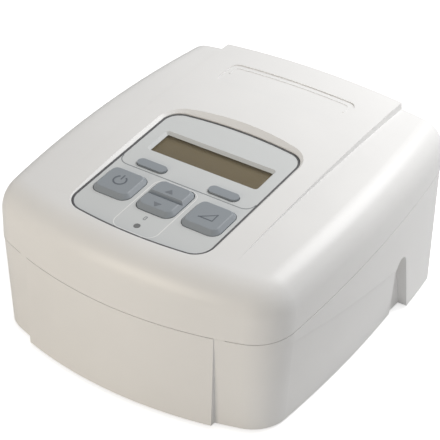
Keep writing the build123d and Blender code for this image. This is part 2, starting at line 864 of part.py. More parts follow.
with BuildPart() as display_window:
    lens_radius = lens_corner_radius - pin_clearance
    lens = rounded_box(
        lens_width - 2 * pin_clearance, lens_depth - 2 * pin_clearance, 0, window_y, lens_radius
    )
    add(panel_sketch(-panel_thickness, lens))
    extrude(amount=panel_thickness - window_recess)
display_window.part.label = "display_window"
export_step(display_window.part, "parts/display_window.step")

# The display: glass in a folded metal frame, just under the window.
lcd_width, lcd_depth = lens_width + 2 * lcd_margin, lens_depth + 2 * lcd_margin
lcd_top = -panel_thickness - lcd_gap
lcd_glass_shape = rounded_box(lens_width, lens_depth, 0, window_y, lens_corner_radius / 2)
with BuildPart() as lcd_frame:
    lcd_frame_shape = rounded_box(lcd_width, lcd_depth, 0, window_y, lens_corner_radius)
    add(panel_sketch(lcd_top - lcd_frame_thickness, lcd_frame_shape))
    extrude(amount=lcd_frame_thickness)
    add(panel_sketch(lcd_top - lcd_glass_thickness, lcd_glass_shape))
    extrude(amount=lcd_glass_thickness, mode=Mode.SUBTRACT)
lcd_frame.part.label = "lcd_frame"
export_step(lcd_frame.part, "parts/lcd_frame.step")

with BuildPart() as lcd_glass:
    add(panel_sketch(lcd_top - lcd_glass_thickness, lcd_glass_shape))
    extrude(amount=lcd_glass_thickness)
lcd_glass.part.label = "lcd_glass"
export_step(lcd_glass.part, "parts/lcd_glass.step")

# The display board carries the display, the contacts under the keys and the indicator's lamp.
with BuildPart() as display_board:
    middle_y = (display_board_front + display_board_rear) / 2
    board_length = display_board_rear - display_board_front
    board_shape = rounded_box(display_board_width, board_length, 0, middle_y, board_corner_radius)
    add(panel_sketch(board_low, board_shape))
    extrude(amount=board_thickness)
    with BuildSketch(panel_plane.offset(board_low)):
        with Locations(*board_holes):
            Circle(board_screw_diameter / 2 + pin_clearance)
    extrude(amount=board_thickness, mode=Mode.SUBTRACT)
    with BuildSketch(panel_plane.offset(board_low - ribbon_socket_height)):
        with Locations((ribbon_x, ribbon_socket_y)):
            Rectangle(ribbon_width + 2 * ribbon_socket_wall, ribbon_socket_depth)
            Rectangle(ribbon_width + 2 * socket_gap, ribbon_thickness + 2 * socket_gap, mode=Mode.SUBTRACT)
    extrude(amount=ribbon_socket_height)
display_board.part.label = "display_board"
export_step(display_board.part, "parts/display_board.step")

with BuildPart() as display_screws:
    with BuildSketch(panel_plane.offset(board_low)):
        with Locations(*board_holes):
            Circle(board_screw_diameter / 2)
    extrude(amount=board_screw_length)
    with BuildSketch(panel_plane.offset(board_low - board_screw_head_height)):
        with Locations(*board_holes):
            Circle(board_screw_head / 2)
    extrude(amount=board_screw_head_height)
display_screws.part.label = "display_screws"
export_step(display_screws.part, "parts/display_screws.step")

# The silicone keypad lies on the board, with a hole round each key's stem.
with BuildPart() as keypad_mat:
    mat_rear = softkey_y + softkey_width
    mat_front = rocker_y - rocker_depth / 2
    mat_width = 2 * key_pitch + key_width
    mat_shape = rounded_box(
        mat_width, mat_rear - mat_front, 0, (mat_front + mat_rear) / 2, board_corner_radius
    )
    add(panel_sketch(-display_board_depth, mat_shape))
    extrude(amount=keypad_thickness)
    with BuildSketch(panel_plane.offset(-display_board_depth)):
        with Locations((power_x, key_y), (ramp_x, key_y)):
            Circle(stem_diameter / 2 + keypad_clearance)
        with Locations((-softkey_x, softkey_y), (softkey_x, softkey_y)):
            Circle(softkey_stem / 2 + keypad_clearance)
        with Locations((0, rocker_y - rocker_stem_spread / 2), (0, rocker_y + rocker_stem_spread / 2)):
            Circle(rocker_stem_diameter / 2 + keypad_clearance)
    extrude(amount=keypad_thickness, mode=Mode.SUBTRACT)
keypad_mat.part.label = "keypad_mat"
export_step(keypad_mat.part, "parts/keypad_mat.step")


def keycap(low, depth, x, y):
    """A raised cap from low below the panel's face, with a sloped skirt and a soft upper edge."""
    normal = Axis(panel_plane.origin, panel_plane.z_dir)
    with BuildPart() as cap:
        add(panel_sketch(-low, rounded_box(key_width, depth, x, y, key_corner_radius)))
        extrude(amount=low + key_rise)
        top = cap.faces().sort_by(normal)[-1]
        chamfer(top.edges(), key_skirt_run, key_rise - key_skirt_start, reference=top)
        fillet(cap.faces().sort_by(normal)[-1].edges(), key_edge_radius)
    return cap.part


key_low = panel_thickness + key_flange_play
flange_low = key_low + key_flange_thickness


def square_key(x):
    """A raised key with a flange under the panel and a stem."""
    with BuildPart() as key:
        add(keycap(key_low, key_depth, x, key_y))
        rim_width, rim_depth = key_width + 2 * key_flange, key_depth + 2 * key_flange
        add(panel_sketch(-flange_low, rounded_box(rim_width, rim_depth, x, key_y, key_corner_radius)))
        extrude(amount=key_flange_thickness)
        with BuildSketch(panel_plane.offset(-stem_reach)):
            with Locations((x, key_y)):
                Circle(stem_diameter / 2)
        extrude(amount=stem_reach - panel_thickness)
    return key.part


power_button_part = square_key(power_x)
power_button_part.label = "power_button"
export_step(power_button_part, "parts/power_button.step")

ramp_button_part = square_key(ramp_x)
ramp_button_part.label = "ramp_button"
export_step(ramp_button_part, "parts/ramp_button.step")


def soft_key(x):
    """A low oblong key beside the display's foot."""
    with BuildPart() as key:
        add(panel_sketch(-key_low, slot_shape(softkey_length, softkey_width, x, softkey_y)))
        extrude(amount=key_low + softkey_rise)
        rim_length, rim_width = softkey_length + 2 * key_flange, softkey_width + 2 * key_flange
        add(panel_sketch(-flange_low, slot_shape(rim_length, rim_width, x, softkey_y)))
        extrude(amount=key_flange_thickness)
        with BuildSketch(panel_plane.offset(-stem_reach)):
            with Locations((x, softkey_y)):
                Circle(softkey_stem / 2)
        extrude(amount=stem_reach - panel_thickness)
    return key.part


left_softkey_part = soft_key(-softkey_x)
left_softkey_part.label = "left_softkey"
export_step(left_softkey_part, "parts/left_softkey.step")

right_softkey_part = soft_key(softkey_x)
right_softkey_part.label = "right_softkey"
export_step(right_softkey_part, "parts/right_softkey.step")

# The rocker tips about a pin under its middle, and has a valley across its face.
with BuildPart() as scroll_rocker:
    cap_low = panel_thickness - ear_gap
    add(keycap(cap_low, rocker_depth, 0, rocker_y))
    body_low = rocker_pin_depth + rocker_pin_diameter
    rocker_body_depth = rocker_depth - 2 * key_skirt_run
    body_shape = rounded_box(rocker_body_width, rocker_body_depth, 0, rocker_y, key_edge_radius)
    add(panel_sketch(-body_low, body_shape))
    extrude(amount=body_low - cap_low + ear_gap / 2)
    valley_foot = panel_plane.from_local_coords((0, rocker_y, key_rise - rocker_groove_depth))
    with BuildSketch(Plane(origin=valley_foot, x_dir=panel_plane.y_dir, z_dir=(1, 0, 0))):
        with BuildLine():
            slope = rocker_groove / 2 / rocker_groove_depth
            reach = rocker_groove_depth + key_rise
            Polyline((0, 0), (slope * reach, reach), (-slope * reach, reach), close=True)
        make_face()
    extrude(amount=key_width, both=True, mode=Mode.SUBTRACT)
    with BuildSketch(panel_plane.offset(-stem_reach)):
        with Locations((0, rocker_y - rocker_stem_spread / 2), (0, rocker_y + rocker_stem_spread / 2)):
            Circle(rocker_stem_diameter / 2)
    extrude(amount=stem_reach - rocker_pin_depth)
    pin_bore = rocker_pin_shape(rocker_pin_diameter / 2 + pin_clearance, key_width)
    add(pin_bore, mode=Mode.SUBTRACT)
scroll_rocker.part.label = "scroll_rocker"
export_step(scroll_rocker.part, "parts/scroll_rocker.step")

rocker_pin_part = rocker_pin_shape(rocker_pin_diameter / 2, 2 * ear_x + ear_thickness)
rocker_pin_part.label = "rocker_pin"
export_step(rocker_pin_part, "parts/rocker_pin.step")

# The indicator's clear light pipe stands just above its lamp.
with BuildPart() as light_pipe:
    with BuildSketch(panel_plane.offset(-stem_reach)):
        with Locations((0, indicator_y)):
            Circle(indicator_diameter / 2)
    extrude(amount=stem_reach)
    with BuildSketch(panel_plane.offset(-panel_thickness - key_flange_thickness)):
        with Locations((0, indicator_y)):
            Circle(indicator_diameter / 2 + key_flange)
    extrude(amount=key_flange_thickness)
light_pipe.part.label = "light_pipe"
export_step(light_pipe.part, "parts/light_pipe.step")

# Air box: the acoustic enclosure round the blower, split level with the outlet.
blower_x = outlet_x + port_radius - volute_radius
intake_width, intake_tall = filter_width - 2 * filter_frame_wall, filter_tall - 2 * filter_frame_wall
mount_places = [
    (
        blower_x + mount_circle / 2 * math.cos(math.radians(180 + 360 * n / mount_count)),
        blower_y + mount_circle / 2 * math.sin(math.radians(180 + 360 * n / mount_count)),
    )
    for n in range(mount_count)
]
with BuildPart() as air_box:
    with BuildSketch(body_frame.offset(box_low)):
        with Locations((0, box_middle_y)):
            RectangleRounded(air_box_width, air_box_length, air_box_wall * 2)
    extrude(amount=air_box_top - box_low)
    with BuildSketch(body_frame.offset(box_low + air_box_wall)):
        with Locations((0, box_middle_y)):
            inside_width = air_box_width - 2 * air_box_wall
            inside_length = air_box_length - 2 * air_box_wall
            RectangleRounded(inside_width, inside_length, air_box_wall)
    extrude(amount=air_box_top - box_low - 2 * air_box_wall, mode=Mode.SUBTRACT)
    # Three posts under the blower's rubber mounts.
    with BuildSketch(body_frame.offset(box_low + air_box_wall / 2)):
        with Locations(*mount_places):
            Circle(mount_diameter / 2)
    extrude(amount=volute_low - mount_height - box_low - air_box_wall / 2)
    with BuildSketch(front_view(air_box_rear)):
        with Locations((outlet_x, outlet_height)):
            Circle(port_radius + fit_gap)
        with Locations((filter_x, filter_height)):
            Rectangle(intake_width, intake_tall)
    extrude(amount=air_box_wall, mode=Mode.SUBTRACT)
    with BuildSketch(front_view(air_box_front + air_box_wall)):
        with Locations((lead_x, lead_height)):
            Circle(lead_diameter / 2 + socket_gap)
    extrude(amount=air_box_wall, mode=Mode.SUBTRACT)

with BuildPart() as air_box_base:
    add(air_box.part)
    split(bisect_by=body_frame.offset(outlet_height - air_box_seal / 2), keep=Keep.BOTTOM)
air_box_base.part.label = "air_box_base"
export_step(air_box_base.part, "parts/air_box_base.step")

with BuildPart() as air_box_lid:
    add(air_box.part)
    split(bisect_by=body_frame.offset(outlet_height + air_box_seal / 2), keep=Keep.TOP)
air_box_lid.part.label = "air_box_lid"
export_step(air_box_lid.part, "parts/air_box_lid.step")

with BuildPart() as air_box_gasket:
    add(air_box.part)
    split(bisect_by=body_frame.offset(outlet_height - air_box_seal / 2), keep=Keep.TOP)
    split(bisect_by=body_frame.offset(outlet_height + air_box_seal / 2), keep=Keep.BOTTOM)
air_box_gasket.part.label = "air_box_gasket"
export_step(air_box_gasket.part, "parts/air_box_gasket.step")

# Sound-absorbing foam under the lid and along the base's two side walls.
foam_width = air_box_width - 2 * air_box_wall - fit_gap
foam_depth = air_box_length - 4 * air_box_wall
with BuildPart() as lid_foam:
    with BuildSketch(body_frame.offset(air_box_top - air_box_wall - foam_thickness)):
        with Locations((0, box_middle_y)):
            RectangleRounded(foam_width, foam_depth, air_box_wall)
    extrude(amount=foam_thickness)
lid_foam.part.label = "lid_foam"
export_step(lid_foam.part, "parts/lid_foam.step")

with BuildPart() as wall_foam:
    with BuildSketch(body_frame.offset(box_low + air_box_wall)):
        foam_x = (foam_width - foam_thickness) / 2
        with Locations((-foam_x, box_middle_y), (foam_x, box_middle_y)):
            Rectangle(foam_thickness, foam_depth)
    extrude(amount=outlet_height - air_box_seal - box_low - air_box_wall)
wall_foam.part.label = "wall_foam"
export_step(wall_foam.part, "parts/wall_foam.step")

# Blower housing: a flat spiral chamber with a duct to the outlet, split into two halves.
duct_half = port_radius
with BuildPart() as volute:
    with BuildSketch(body_frame.offset(volute_low)):
        with Locations((blower_x, blower_y)):
            Circle(volute_radius)
        with Locations((outlet_x, (blower_y + duct_end) / 2)):
            Rectangle(2 * duct_half, duct_end - blower_y)
    extrude(amount=volute_high - volute_low)
    with BuildSketch(front_view(air_box_rear + spigot_length)):
        with Locations((outlet_x, outlet_height)):
            Circle(port_radius)
    extrude(amount=spigot_length + air_box_rear - duct_end + volute_wall)
    with BuildSketch(body_frame.offset(volute_low + volute_wall)):
        with Locations((blower_x, blower_y)):
            Circle(volute_radius - volute_wall)
        with Locations((outlet_x, (blower_y + duct_end - volute_wall) / 2)):
            Rectangle(2 * (duct_half - volute_wall), duct_end - volute_wall - blower_y)
    extrude(amount=volute_inner_height, mode=Mode.SUBTRACT)
    with BuildSketch(front_view(air_box_rear + spigot_length)):
        with Locations((outlet_x, outlet_height)):
            Circle(port_bore / 2)
    extrude(amount=spigot_length + air_box_rear - duct_end + 2 * volute_wall, mode=Mode.SUBTRACT)
    with BuildSketch(body_frame.offset(volute_high - 2 * volute_wall)):
        with Locations((blower_x, blower_y)):
            Circle(inlet_eye_diameter / 2)
    extrude(amount=3 * volute_wall, mode=Mode.SUBTRACT)
    # Seat of the upper bearing in the floor.
    with BuildSketch(body_frame.offset(volute_low + volute_wall - bearing_width)):
        with Locations((blower_x, blower_y)):
            Circle(bearing_diameter / 2 + volute_wall)
    extrude(amount=bearing_width - volute_wall / 2)
    with BuildSketch(body_frame.offset(volute_low - bearing_width)):
        with Locations((blower_x, blower_y)):
            Circle(bearing_diameter / 2)
    extrude(amount=2 * bearing_width, mode=Mode.SUBTRACT)

with BuildPart() as volute_lower:
    add(volute.part)
    split(bisect_by=body_frame.offset(outlet_height), keep=Keep.BOTTOM)
volute_lower.part.label = "volute_lower"
export_step(volute_lower.part, "parts/volute_lower.step")

with BuildPart() as volute_upper:
    add(volute.part)
    split(bisect_by=body_frame.offset(outlet_height), keep=Keep.TOP)
volute_upper.part.label = "volute_upper"
export_step(volute_upper.part, "parts/volute_upper.step")

with BuildPart() as rubber_mounts:
    with BuildSketch(body_frame.offset(volute_low - mount_height)):
        with Locations(*mount_places):
            Circle(mount_diameter / 2)
    extrude(amount=mount_height)
    with BuildSketch(body_frame.offset(volute_low - (mount_height + mount_waist_height) / 2)):
        with Locations(*mount_places):
            Circle(mount_diameter / 2)
            Circle(mount_waist_diameter / 2, mode=Mode.SUBTRACT)
    extrude(amount=mount_waist_height, mode=Mode.SUBTRACT)
rubber_mounts.part.label = "rubber_mounts"
export_step(rubber_mounts.part, "parts/rubber_mounts.step")

# Motor: a can under the housing, with the stator's poles and coils round the rotor's magnet.
shaft_low = motor_low + motor_wall + shaft_end_gap
lower_bearing_low = motor_low + motor_wall
upper_bearing_low = volute_low + volute_wall - bearing_width
shaft_radius = shaft_diameter / 2
stator_middle = (lower_bearing_low + bearing_width + upper_bearing_low) / 2
stator_outer = motor_diameter / 2 - motor_wall
with BuildPart() as motor_can:
    with BuildSketch(body_frame.offset(motor_low)):
        with Locations((blower_x, blower_y)):
            Circle(motor_diameter / 2)
    extrude(amount=motor_length)
    with BuildSketch(body_frame.offset(motor_low + motor_wall)):
        with Locations((blower_x, blower_y)):
            Circle(stator_outer)
    extrude(amount=motor_length, mode=Mode.SUBTRACT)
    with BuildSketch(body_frame.offset(motor_low + motor_wall / 2)):
        with Locations((blower_x, blower_y)):
            Circle(bearing_diameter / 2 + motor_wall)
    extrude(amount=bearing_width + motor_wall / 2)
    with BuildSketch(body_frame.offset(lower_bearing_low)):
        with Locations((blower_x, blower_y)):
            Circle(bearing_diameter / 2)
    extrude(amount=bearing_width, mode=Mode.SUBTRACT)
    with BuildSketch(front_view(blower_y)):
        with Locations((lead_x, lead_height)):
            Circle(lead_diameter / 2)
    extrude(amount=motor_diameter, mode=Mode.SUBTRACT)
motor_can.part.label = "motor_can"
export_step(motor_can.part, "parts/motor_can.step")


def bearing(low):
    """A ball bearing as one ring, with running clearance on the shaft."""
    with BuildPart() as ring:
        with BuildSketch(body_frame.offset(low)):
            with Locations((blower_x, blower_y)):
                Circle(bearing_diameter / 2)
                Circle(shaft_radius + shaft_clearance, mode=Mode.SUBTRACT)
        extrude(amount=bearing_width)
    return ring.part


lower_bearing_part = bearing(lower_bearing_low)
lower_bearing_part.label = "lower_bearing"
export_step(lower_bearing_part, "parts/lower_bearing.step")

upper_bearing_part = bearing(upper_bearing_low)
upper_bearing_part.label = "upper_bearing"
export_step(upper_bearing_part, "parts/upper_bearing.step")

pole_length = stator_outer - stator_ring - stator_inner_diameter / 2
pole_middle = stator_inner_diameter / 2 + pole_length / 2
with BuildPart() as stator_core:
    with BuildSketch(body_frame.offset(stator_middle - stator_height / 2)):
        with Locations((blower_x, blower_y)):
            Circle(stator_outer)
            Circle(stator_outer - stator_ring, mode=Mode.SUBTRACT)
            with PolarLocations(pole_middle, stator_poles):
                Rectangle(pole_length + stator_ring / 4, pole_width)
    extrude(amount=stator_height)
stator_core.part.label = "stator_core"
export_step(stator_core.part, "parts/stator_core.step")

with BuildPart() as stator_coils:
    with BuildSketch(body_frame.offset(stator_middle - stator_height / 2 - coil_thickness)):
        with Locations((blower_x, blower_y)):
            with PolarLocations(pole_middle, stator_poles):
                Rectangle(pole_length - coil_end_gap, pole_width + 2 * coil_thickness)
    extrude(amount=stator_height + 2 * coil_thickness)
    add(stator_core.part, mode=Mode.SUBTRACT)
stator_coils.part.label = "stator_coils"
export_step(stator_coils.part, "parts/stator_coils.step")

with BuildPart() as rotor_magnet:
    with BuildSketch(body_frame.offset(stator_middle - rotor_height / 2)):
        with Locations((blower_x, blower_y)):
            Circle(rotor_diameter / 2)
            Circle(shaft_radius, mode=Mode.SUBTRACT)
    extrude(amount=rotor_height)
rotor_magnet.part.label = "rotor_magnet"
export_step(rotor_magnet.part, "parts/rotor_magnet.step")

impeller_low = volute_low + 2 * volute_wall
with BuildPart() as motor_shaft:
    with BuildSketch(body_frame.offset(shaft_low)):
        with Locations((blower_x, blower_y)):
            Circle(shaft_radius)
    extrude(amount=impeller_low + impeller_height - shaft_low)
motor_shaft.part.label = "motor_shaft"
export_step(motor_shaft.part, "parts/motor_shaft.step")

# Impeller: a disc with curved blades round a hub.
impeller_radius = impeller_diameter / 2
with BuildSketch() as blade:
    with BuildLine():
        turn = math.radians(impeller_sweep)
        root, tip = hub_diameter / 2 - impeller_plate / 4, impeller_radius - impeller_plate / 4
        middle = (root + tip) / 2
        ThreePointArc(
            (root, 0),
            (middle * math.cos(turn / 3), -middle * math.sin(turn / 3)),
            (tip * math.cos(turn), -tip * math.sin(turn)),
        )
    trace(line_width=impeller_plate / 2)
with BuildPart() as impeller:
    with BuildSketch(body_frame.offset(impeller_low)):
        with Locations((blower_x, blower_y)):
            Circle(impeller_radius)
    extrude(amount=impeller_plate)
    with BuildSketch(body_frame.offset(impeller_low)):
        with Locations((blower_x, blower_y)):
            Circle(hub_diameter / 2)
    extrude(amount=hub_height)
    with BuildSketch(body_frame.offset(impeller_low + impeller_plate / 2)):
        with Locations((blower_x, blower_y)):
            with PolarLocations(0, impeller_blades):
                add(blade.sketch)
    extrude(amount=impeller_height - impeller_plate / 2)
    with BuildSketch(body_frame.offset(impeller_low)):
        with Locations((blower_x, blower_y)):
            Circle(shaft_radius)
    extrude(amount=impeller_height, mode=Mode.SUBTRACT)
impeller.part.label = "impeller"
export_step(impeller.part, "parts/impeller.step")

# Air outlet: a tube of the usual 22 mm hose size, flanged inside the collar's foot.
with BuildPart() as air_outlet_port:
    with BuildSketch(front_view(rear_face + port_reach)):
        with Locations((outlet_x, outlet_height)):
            Circle(port_radius)
    extrude(amount=port_length)
    with BuildSketch(front_view(rear_face + collar_length)):
        with Locations((outlet_x, outlet_height)):
            Circle(port_radius + port_step)
    extrude(amount=collar_length + wall)
    with BuildSketch(front_view(rear_inside)):
        with Locations((outlet_x, outlet_height)):
            Circle(port_flange_diameter / 2)
    extrude(amount=port_flange_thickness)
    with BuildSketch(front_view(rear_inside - port_flange_thickness)):
        with Locations((outlet_x, outlet_height)):
            Circle(port_radius)
    extrude(amount=boot_lap)
    with BuildSketch(front_view(rear_face + port_reach)):
        with Locations((outlet_x, outlet_height)):
            Circle(port_bore / 2)
    extrude(amount=port_reach + wall + port_flange_thickness + boot_lap, mode=Mode.SUBTRACT)
    chamfer(air_outlet_port.edges().group_by(Axis.Y)[-1], (port_diameter - port_bore) / 6)
air_outlet_port.part.label = "air_outlet_port"
export_step(air_outlet_port.part, "parts/air_outlet_port.step")

# A rubber boot joins the blower's spigot to the outlet tube and keeps its hum off the case.
boot_rear = rear_inside - port_flange_thickness - fit_gap
boot_front = air_box_rear + fit_gap
with BuildPart() as outlet_boot:
    with BuildSketch(front_view(boot_rear)):
        with Locations((outlet_x, outlet_height)):
            Circle(port_radius + boot_wall)
            Circle(port_radius, mode=Mode.SUBTRACT)
    extrude(amount=boot_rear - boot_front)
    with BuildSketch(front_view((boot_rear + boot_front) / 2 + boot_wall / 2)):
        with Locations((outlet_x, outlet_height)):
            Circle(port_radius + boot_wall + boot_rib)
            Circle(port_radius, mode=Mode.SUBTRACT)
    extrude(amount=boot_wall)
outlet_boot.part.label = "outlet_boot"
export_step(outlet_boot.part, "parts/outlet_boot.step")

# Filters in the rear frame: a washable foam block behind the door, a fine one in front of it.
filter_pad_width, filter_pad_tall = filter_width - 2 * filter_gap, filter_tall - 2 * filter_gap
foam_rear = rear_face - door_thickness - filter_gap
with BuildPart() as foam_filter:
    with BuildSketch(front_view(foam_rear)):
        with Locations((filter_x, filter_height)):
            Rectangle(filter_pad_width, filter_pad_tall)
    extrude(amount=foam_filter_thickness)
foam_filter.part.label = "foam_filter"
export_step(foam_filter.part, "parts/foam_filter.step")

with BuildPart() as fine_filter:
    with BuildSketch(front_view(foam_rear - foam_filter_thickness)):
        with Locations((filter_x, filter_height)):
            Rectangle(filter_pad_width, filter_pad_tall)
    extrude(amount=fine_filter_thickness)
fine_filter.part.label = "fine_filter"
export_step(fine_filter.part, "parts/fine_filter.step")

# Filter door: a grille that hangs on two stub pins at its foot and opens backwards.
door_width, door_tall = filter_width - 2 * door_gap, filter_tall - 2 * door_gap
with BuildPart() as filter_door:
    with BuildSketch(rear_view):
        with Locations((filter_x, filter_height)):
            Rectangle(door_width, door_tall)
    extrude(amount=door_thickness)
    foot_edges = filter_door.edges().filter_by(Axis.X).group_by(Axis.Z)[0]
    fillet(foot_edges, door_thickness / 2 - pin_clearance)
    with BuildSketch(rear_view):
        with Locations((filter_x, filter_height)):
            with GridLocations(0, door_slot_pitch, 1, door_slot_count):
                SlotOverall(door_width - 2 * door_slot_pitch, door_slot_width)
    extrude(amount=door_thickness, mode=Mode.SUBTRACT)
    with BuildSketch(side_view(filter_x)):
        with Locations((door_pin_y, door_pin_height)):
            Circle(door_pin_diameter / 2)
    pin_reach = filter_width / 2 + door_pin_length
    extrude(amount=pin_reach, both=True)
    with BuildSketch(side_view(filter_x)):
        with Locations((rear_face, door_pin_height + door_tall - door_thickness)):
            Circle(door_grip_radius)
    extrude(amount=door_slot_pitch, both=True, mode=Mode.SUBTRACT)
filter_door.part.label = "filter_door"
export_step(filter_door.part, "parts/filter_door.step")

# Mains inlet: the usual figure-of-eight socket with two pins, pushed in from behind.
with BuildPart() as mains_inlet:
    with BuildSketch(front_view(rear_face + mains_rim)):
        with Locations((mains_x, socket_height)):
            RectangleRounded(mains_width, mains_tall, mains_rim)
    extrude(amount=mains_rim)
    with BuildSketch(rear_view):
        with Locations((mains_x, socket_height)):
            Rectangle(mains_body_width, mains_body_tall)
    extrude(amount=mains_depth)
    with BuildSketch(front_view(rear_face + mains_rim)):
        with Locations((mains_x, socket_height)):
            SlotOverall(mains_socket_width, mains_socket_tall)
            with GridLocations(mains_pin_pitch, 0, 2, 1):
                Circle(mains_pin_diameter / 2, mode=Mode.SUBTRACT)
    extrude(amount=mains_depth + mains_rim - socket_floor, mode=Mode.SUBTRACT)
    with BuildSketch(front_view(rear_face + mains_rim)):
        with Locations((mains_x, socket_height)):
            with GridLocations(mains_pin_pitch, 0, 2, 1):
                Circle(mains_pin_diameter)
    extrude(amount=2 * mains_rim, mode=Mode.SUBTRACT)
mains_inlet.part.label = "mains_inlet"
export_step(mains_inlet.part, "parts/mains_inlet.step")

# Low-voltage jack: a round bore with one pin, for a battery or a car adapter.
with BuildPart() as dc_jack:
    with BuildSketch(front_view(rear_inside)):
        with Locations((jack_x, socket_height)):
            Rectangle(jack_size, jack_size)
    extrude(amount=jack_depth)
    with BuildSketch(rear_view):
        with Locations((jack_x, socket_height)):
            Circle(jack_nose / 2)
    extrude(amount=wall)
    with BuildSketch(rear_view):
        with Locations((jack_x, socket_height)):
            Circle(jack_bore / 2)
            Circle(jack_pin_diameter / 2, mode=Mode.SUBTRACT)
    extrude(amount=wall + jack_depth - socket_floor, mode=Mode.SUBTRACT)
dc_jack.part.label = "dc_jack"
export_step(dc_jack.part, "parts/dc_jack.step")

# Data port for a card reader or a link lead.
with BuildPart() as data_port:
    with BuildSketch(front_view(rear_inside)):
        with Locations((data_x, socket_height)):
            Rectangle(data_width, data_tall)
    extrude(amount=data_depth)
    with BuildSketch(rear_view):
        with Locations((data_x, socket_height)):
            Rectangle(data_nose_width, data_nose_tall)
    extrude(amount=wall)
    with BuildSketch(rear_view):
        with Locations((data_x, socket_height)):
            Rectangle(data_opening_width, data_opening_tall)
    extrude(amount=wall + data_depth - socket_floor, mode=Mode.SUBTRACT)
data_port.part.label = "data_port"
export_step(data_port.part, "parts/data_port.step")


def circuit_board(x):
    """A circuit board on its four posts in the front of the tub."""
    places = [place for place in board_posts if abs(place[0] - x) < board_width / 2]
    with BuildPart() as board:
        with BuildSketch(body_frame.offset(board_height)):
            with Locations((x, board_y)):
                RectangleRounded(board_width, board_depth, board_corner_radius)
            with Locations(*places):
                Circle(board_screw_diameter / 2 + pin_clearance, mode=Mode.SUBTRACT)
        extrude(amount=board_thickness)
    return board.part


board_top = board_height + board_thickness
main_board_part = circuit_board(main_board_x)
main_board_part.label = "main_board"
export_step(main_board_part, "parts/main_board.step")

supply_board_part = circuit_board(supply_board_x)
supply_board_part.label = "supply_board"
export_step(supply_board_part, "parts/supply_board.step")

with BuildPart() as board_screws:
    with BuildSketch(body_frame.offset(board_top)):
        with Locations(*board_posts):
            Circle(board_screw_head / 2)
    extrude(amount=board_screw_head_height)
    with BuildSketch(body_frame.offset(board_top - board_screw_length + pin_clearance)):
        with Locations(*board_posts):
            Circle(board_screw_diameter / 2)
    extrude(amount=board_screw_length)
board_screws.part.label = "board_screws"
export_step(board_screws.part, "parts/board_screws.step")

# The supply board's transformer: a wound bobbin through a ferrite core.
transformer_x = supply_board_x - transformer_width / 2
with BuildPart() as transformer:
    with BuildSketch(body_frame.offset(board_top)):
        with Locations((transformer_x, board_y)):
            RectangleRounded(transformer_width, core_depth, transformer_corner_radius)
    extrude(amount=core_height)
    with BuildSketch(body_frame.offset(board_top + bobbin_lift)):
        with Locations((transformer_x, board_y)):
            Rectangle(bobbin_width, bobbin_depth)
    extrude(amount=bobbin_height)
transformer.part.label = "transformer"
export_step(transformer.part, "parts/transformer.step")

with BuildPart() as supply_capacitors:
    with BuildSketch(body_frame.offset(board_top)):
        with Locations((supply_board_x + transformer_width / 2, board_y)):
            with GridLocations(0, capacitor_diameter + capacitor_gap, 1, 2):
                Circle(capacitor_diameter / 2)
    extrude(amount=capacitor_height)
    fillet(supply_capacitors.edges().group_by(Axis.Z)[-1], capacitor_diameter / 16)
supply_capacitors.part.label = "supply_capacitors"
export_step(supply_capacitors.part, "parts/supply_capacitors.step")

# The processor and the pressure sensor with its tube nipple stand on the main board.
with BuildPart() as processor:
    with BuildSketch(body_frame.offset(board_top)):
        with Locations((main_board_x, board_y - chip_size / 2)):
            Rectangle(chip_size, chip_size)
    extrude(amount=board_thickness)
processor.part.label = "processor"
export_step(processor.part, "parts/processor.step")

sensor_x, sensor_y = main_board_x - board_width / 4, board_y - board_depth / 4
with BuildPart() as pressure_sensor:
    with BuildSketch(body_frame.offset(board_top)):
        with Locations((sensor_x, sensor_y)):
            Rectangle(sensor_size, sensor_size)
    extrude(amount=sensor_height)
    with BuildSketch(body_frame.offset(board_top)):
        with Locations((sensor_x, sensor_y)):
            Circle(sensor_nipple_diameter / 2)
    extrude(amount=sensor_height + sensor_nipple_length)
pressure_sensor.part.label = "pressure_sensor"
export_step(pressure_sensor.part, "parts/pressure_sensor.step")

# Flat cable from the main board's socket up to the one under the display board.
ribbon_foot_y = board_y + board_depth / 2 - ribbon_socket_depth
with BuildPart() as ribbon_socket:
    with BuildSketch(body_frame.offset(board_top)):
        with Locations((ribbon_x, ribbon_foot_y)):
            Rectangle(ribbon_width + 2 * ribbon_socket_wall, ribbon_socket_depth)
            Rectangle(ribbon_width + 2 * socket_gap, ribbon_thickness + 2 * socket_gap, mode=Mode.SUBTRACT)
    extrude(amount=ribbon_socket_height)
ribbon_socket.part.label = "ribbon_socket"
export_step(ribbon_socket.part, "parts/ribbon_socket.step")

ribbon_top = panel_plane.from_local_coords((0, ribbon_socket_y, board_low))
ribbon_end = panel_plane.from_local_coords((0, ribbon_socket_y, board_low - 3 * ribbon_socket_height))
with BuildPart() as ribbon_cable:
    with BuildSketch(side_view(ribbon_x)):
        with BuildLine():
            FilletPolyline(
                (ribbon_foot_y, board_top),
                (ribbon_foot_y, ribbon_turn_height),
                (ribbon_end.Y - body_y, ribbon_end.Z),
                (ribbon_top.Y - body_y, ribbon_top.Z),
                radius=ribbon_bend,
            )
        trace(line_width=ribbon_thickness)
    extrude(amount=ribbon_width / 2, both=True)
ribbon_cable.part.label = "ribbon_cable"
export_step(ribbon_cable.part, "parts/ribbon_cable.step")

# The motor's lead runs straight forward through the air box to a plug on the supply board.
lead_plug_y = board_y + board_depth / 2 - ribbon_socket_depth
with BuildPart() as motor_plug:
    with BuildSketch(body_frame.offset(board_top)):
        with Locations((lead_x, lead_plug_y)):
            Rectangle(2 * ribbon_socket_depth, ribbon_socket_depth)
    extrude(amount=2 * (lead_height - board_top))
motor_plug.part.label = "motor_plug"
export_step(motor_plug.part, "parts/motor_plug.step")

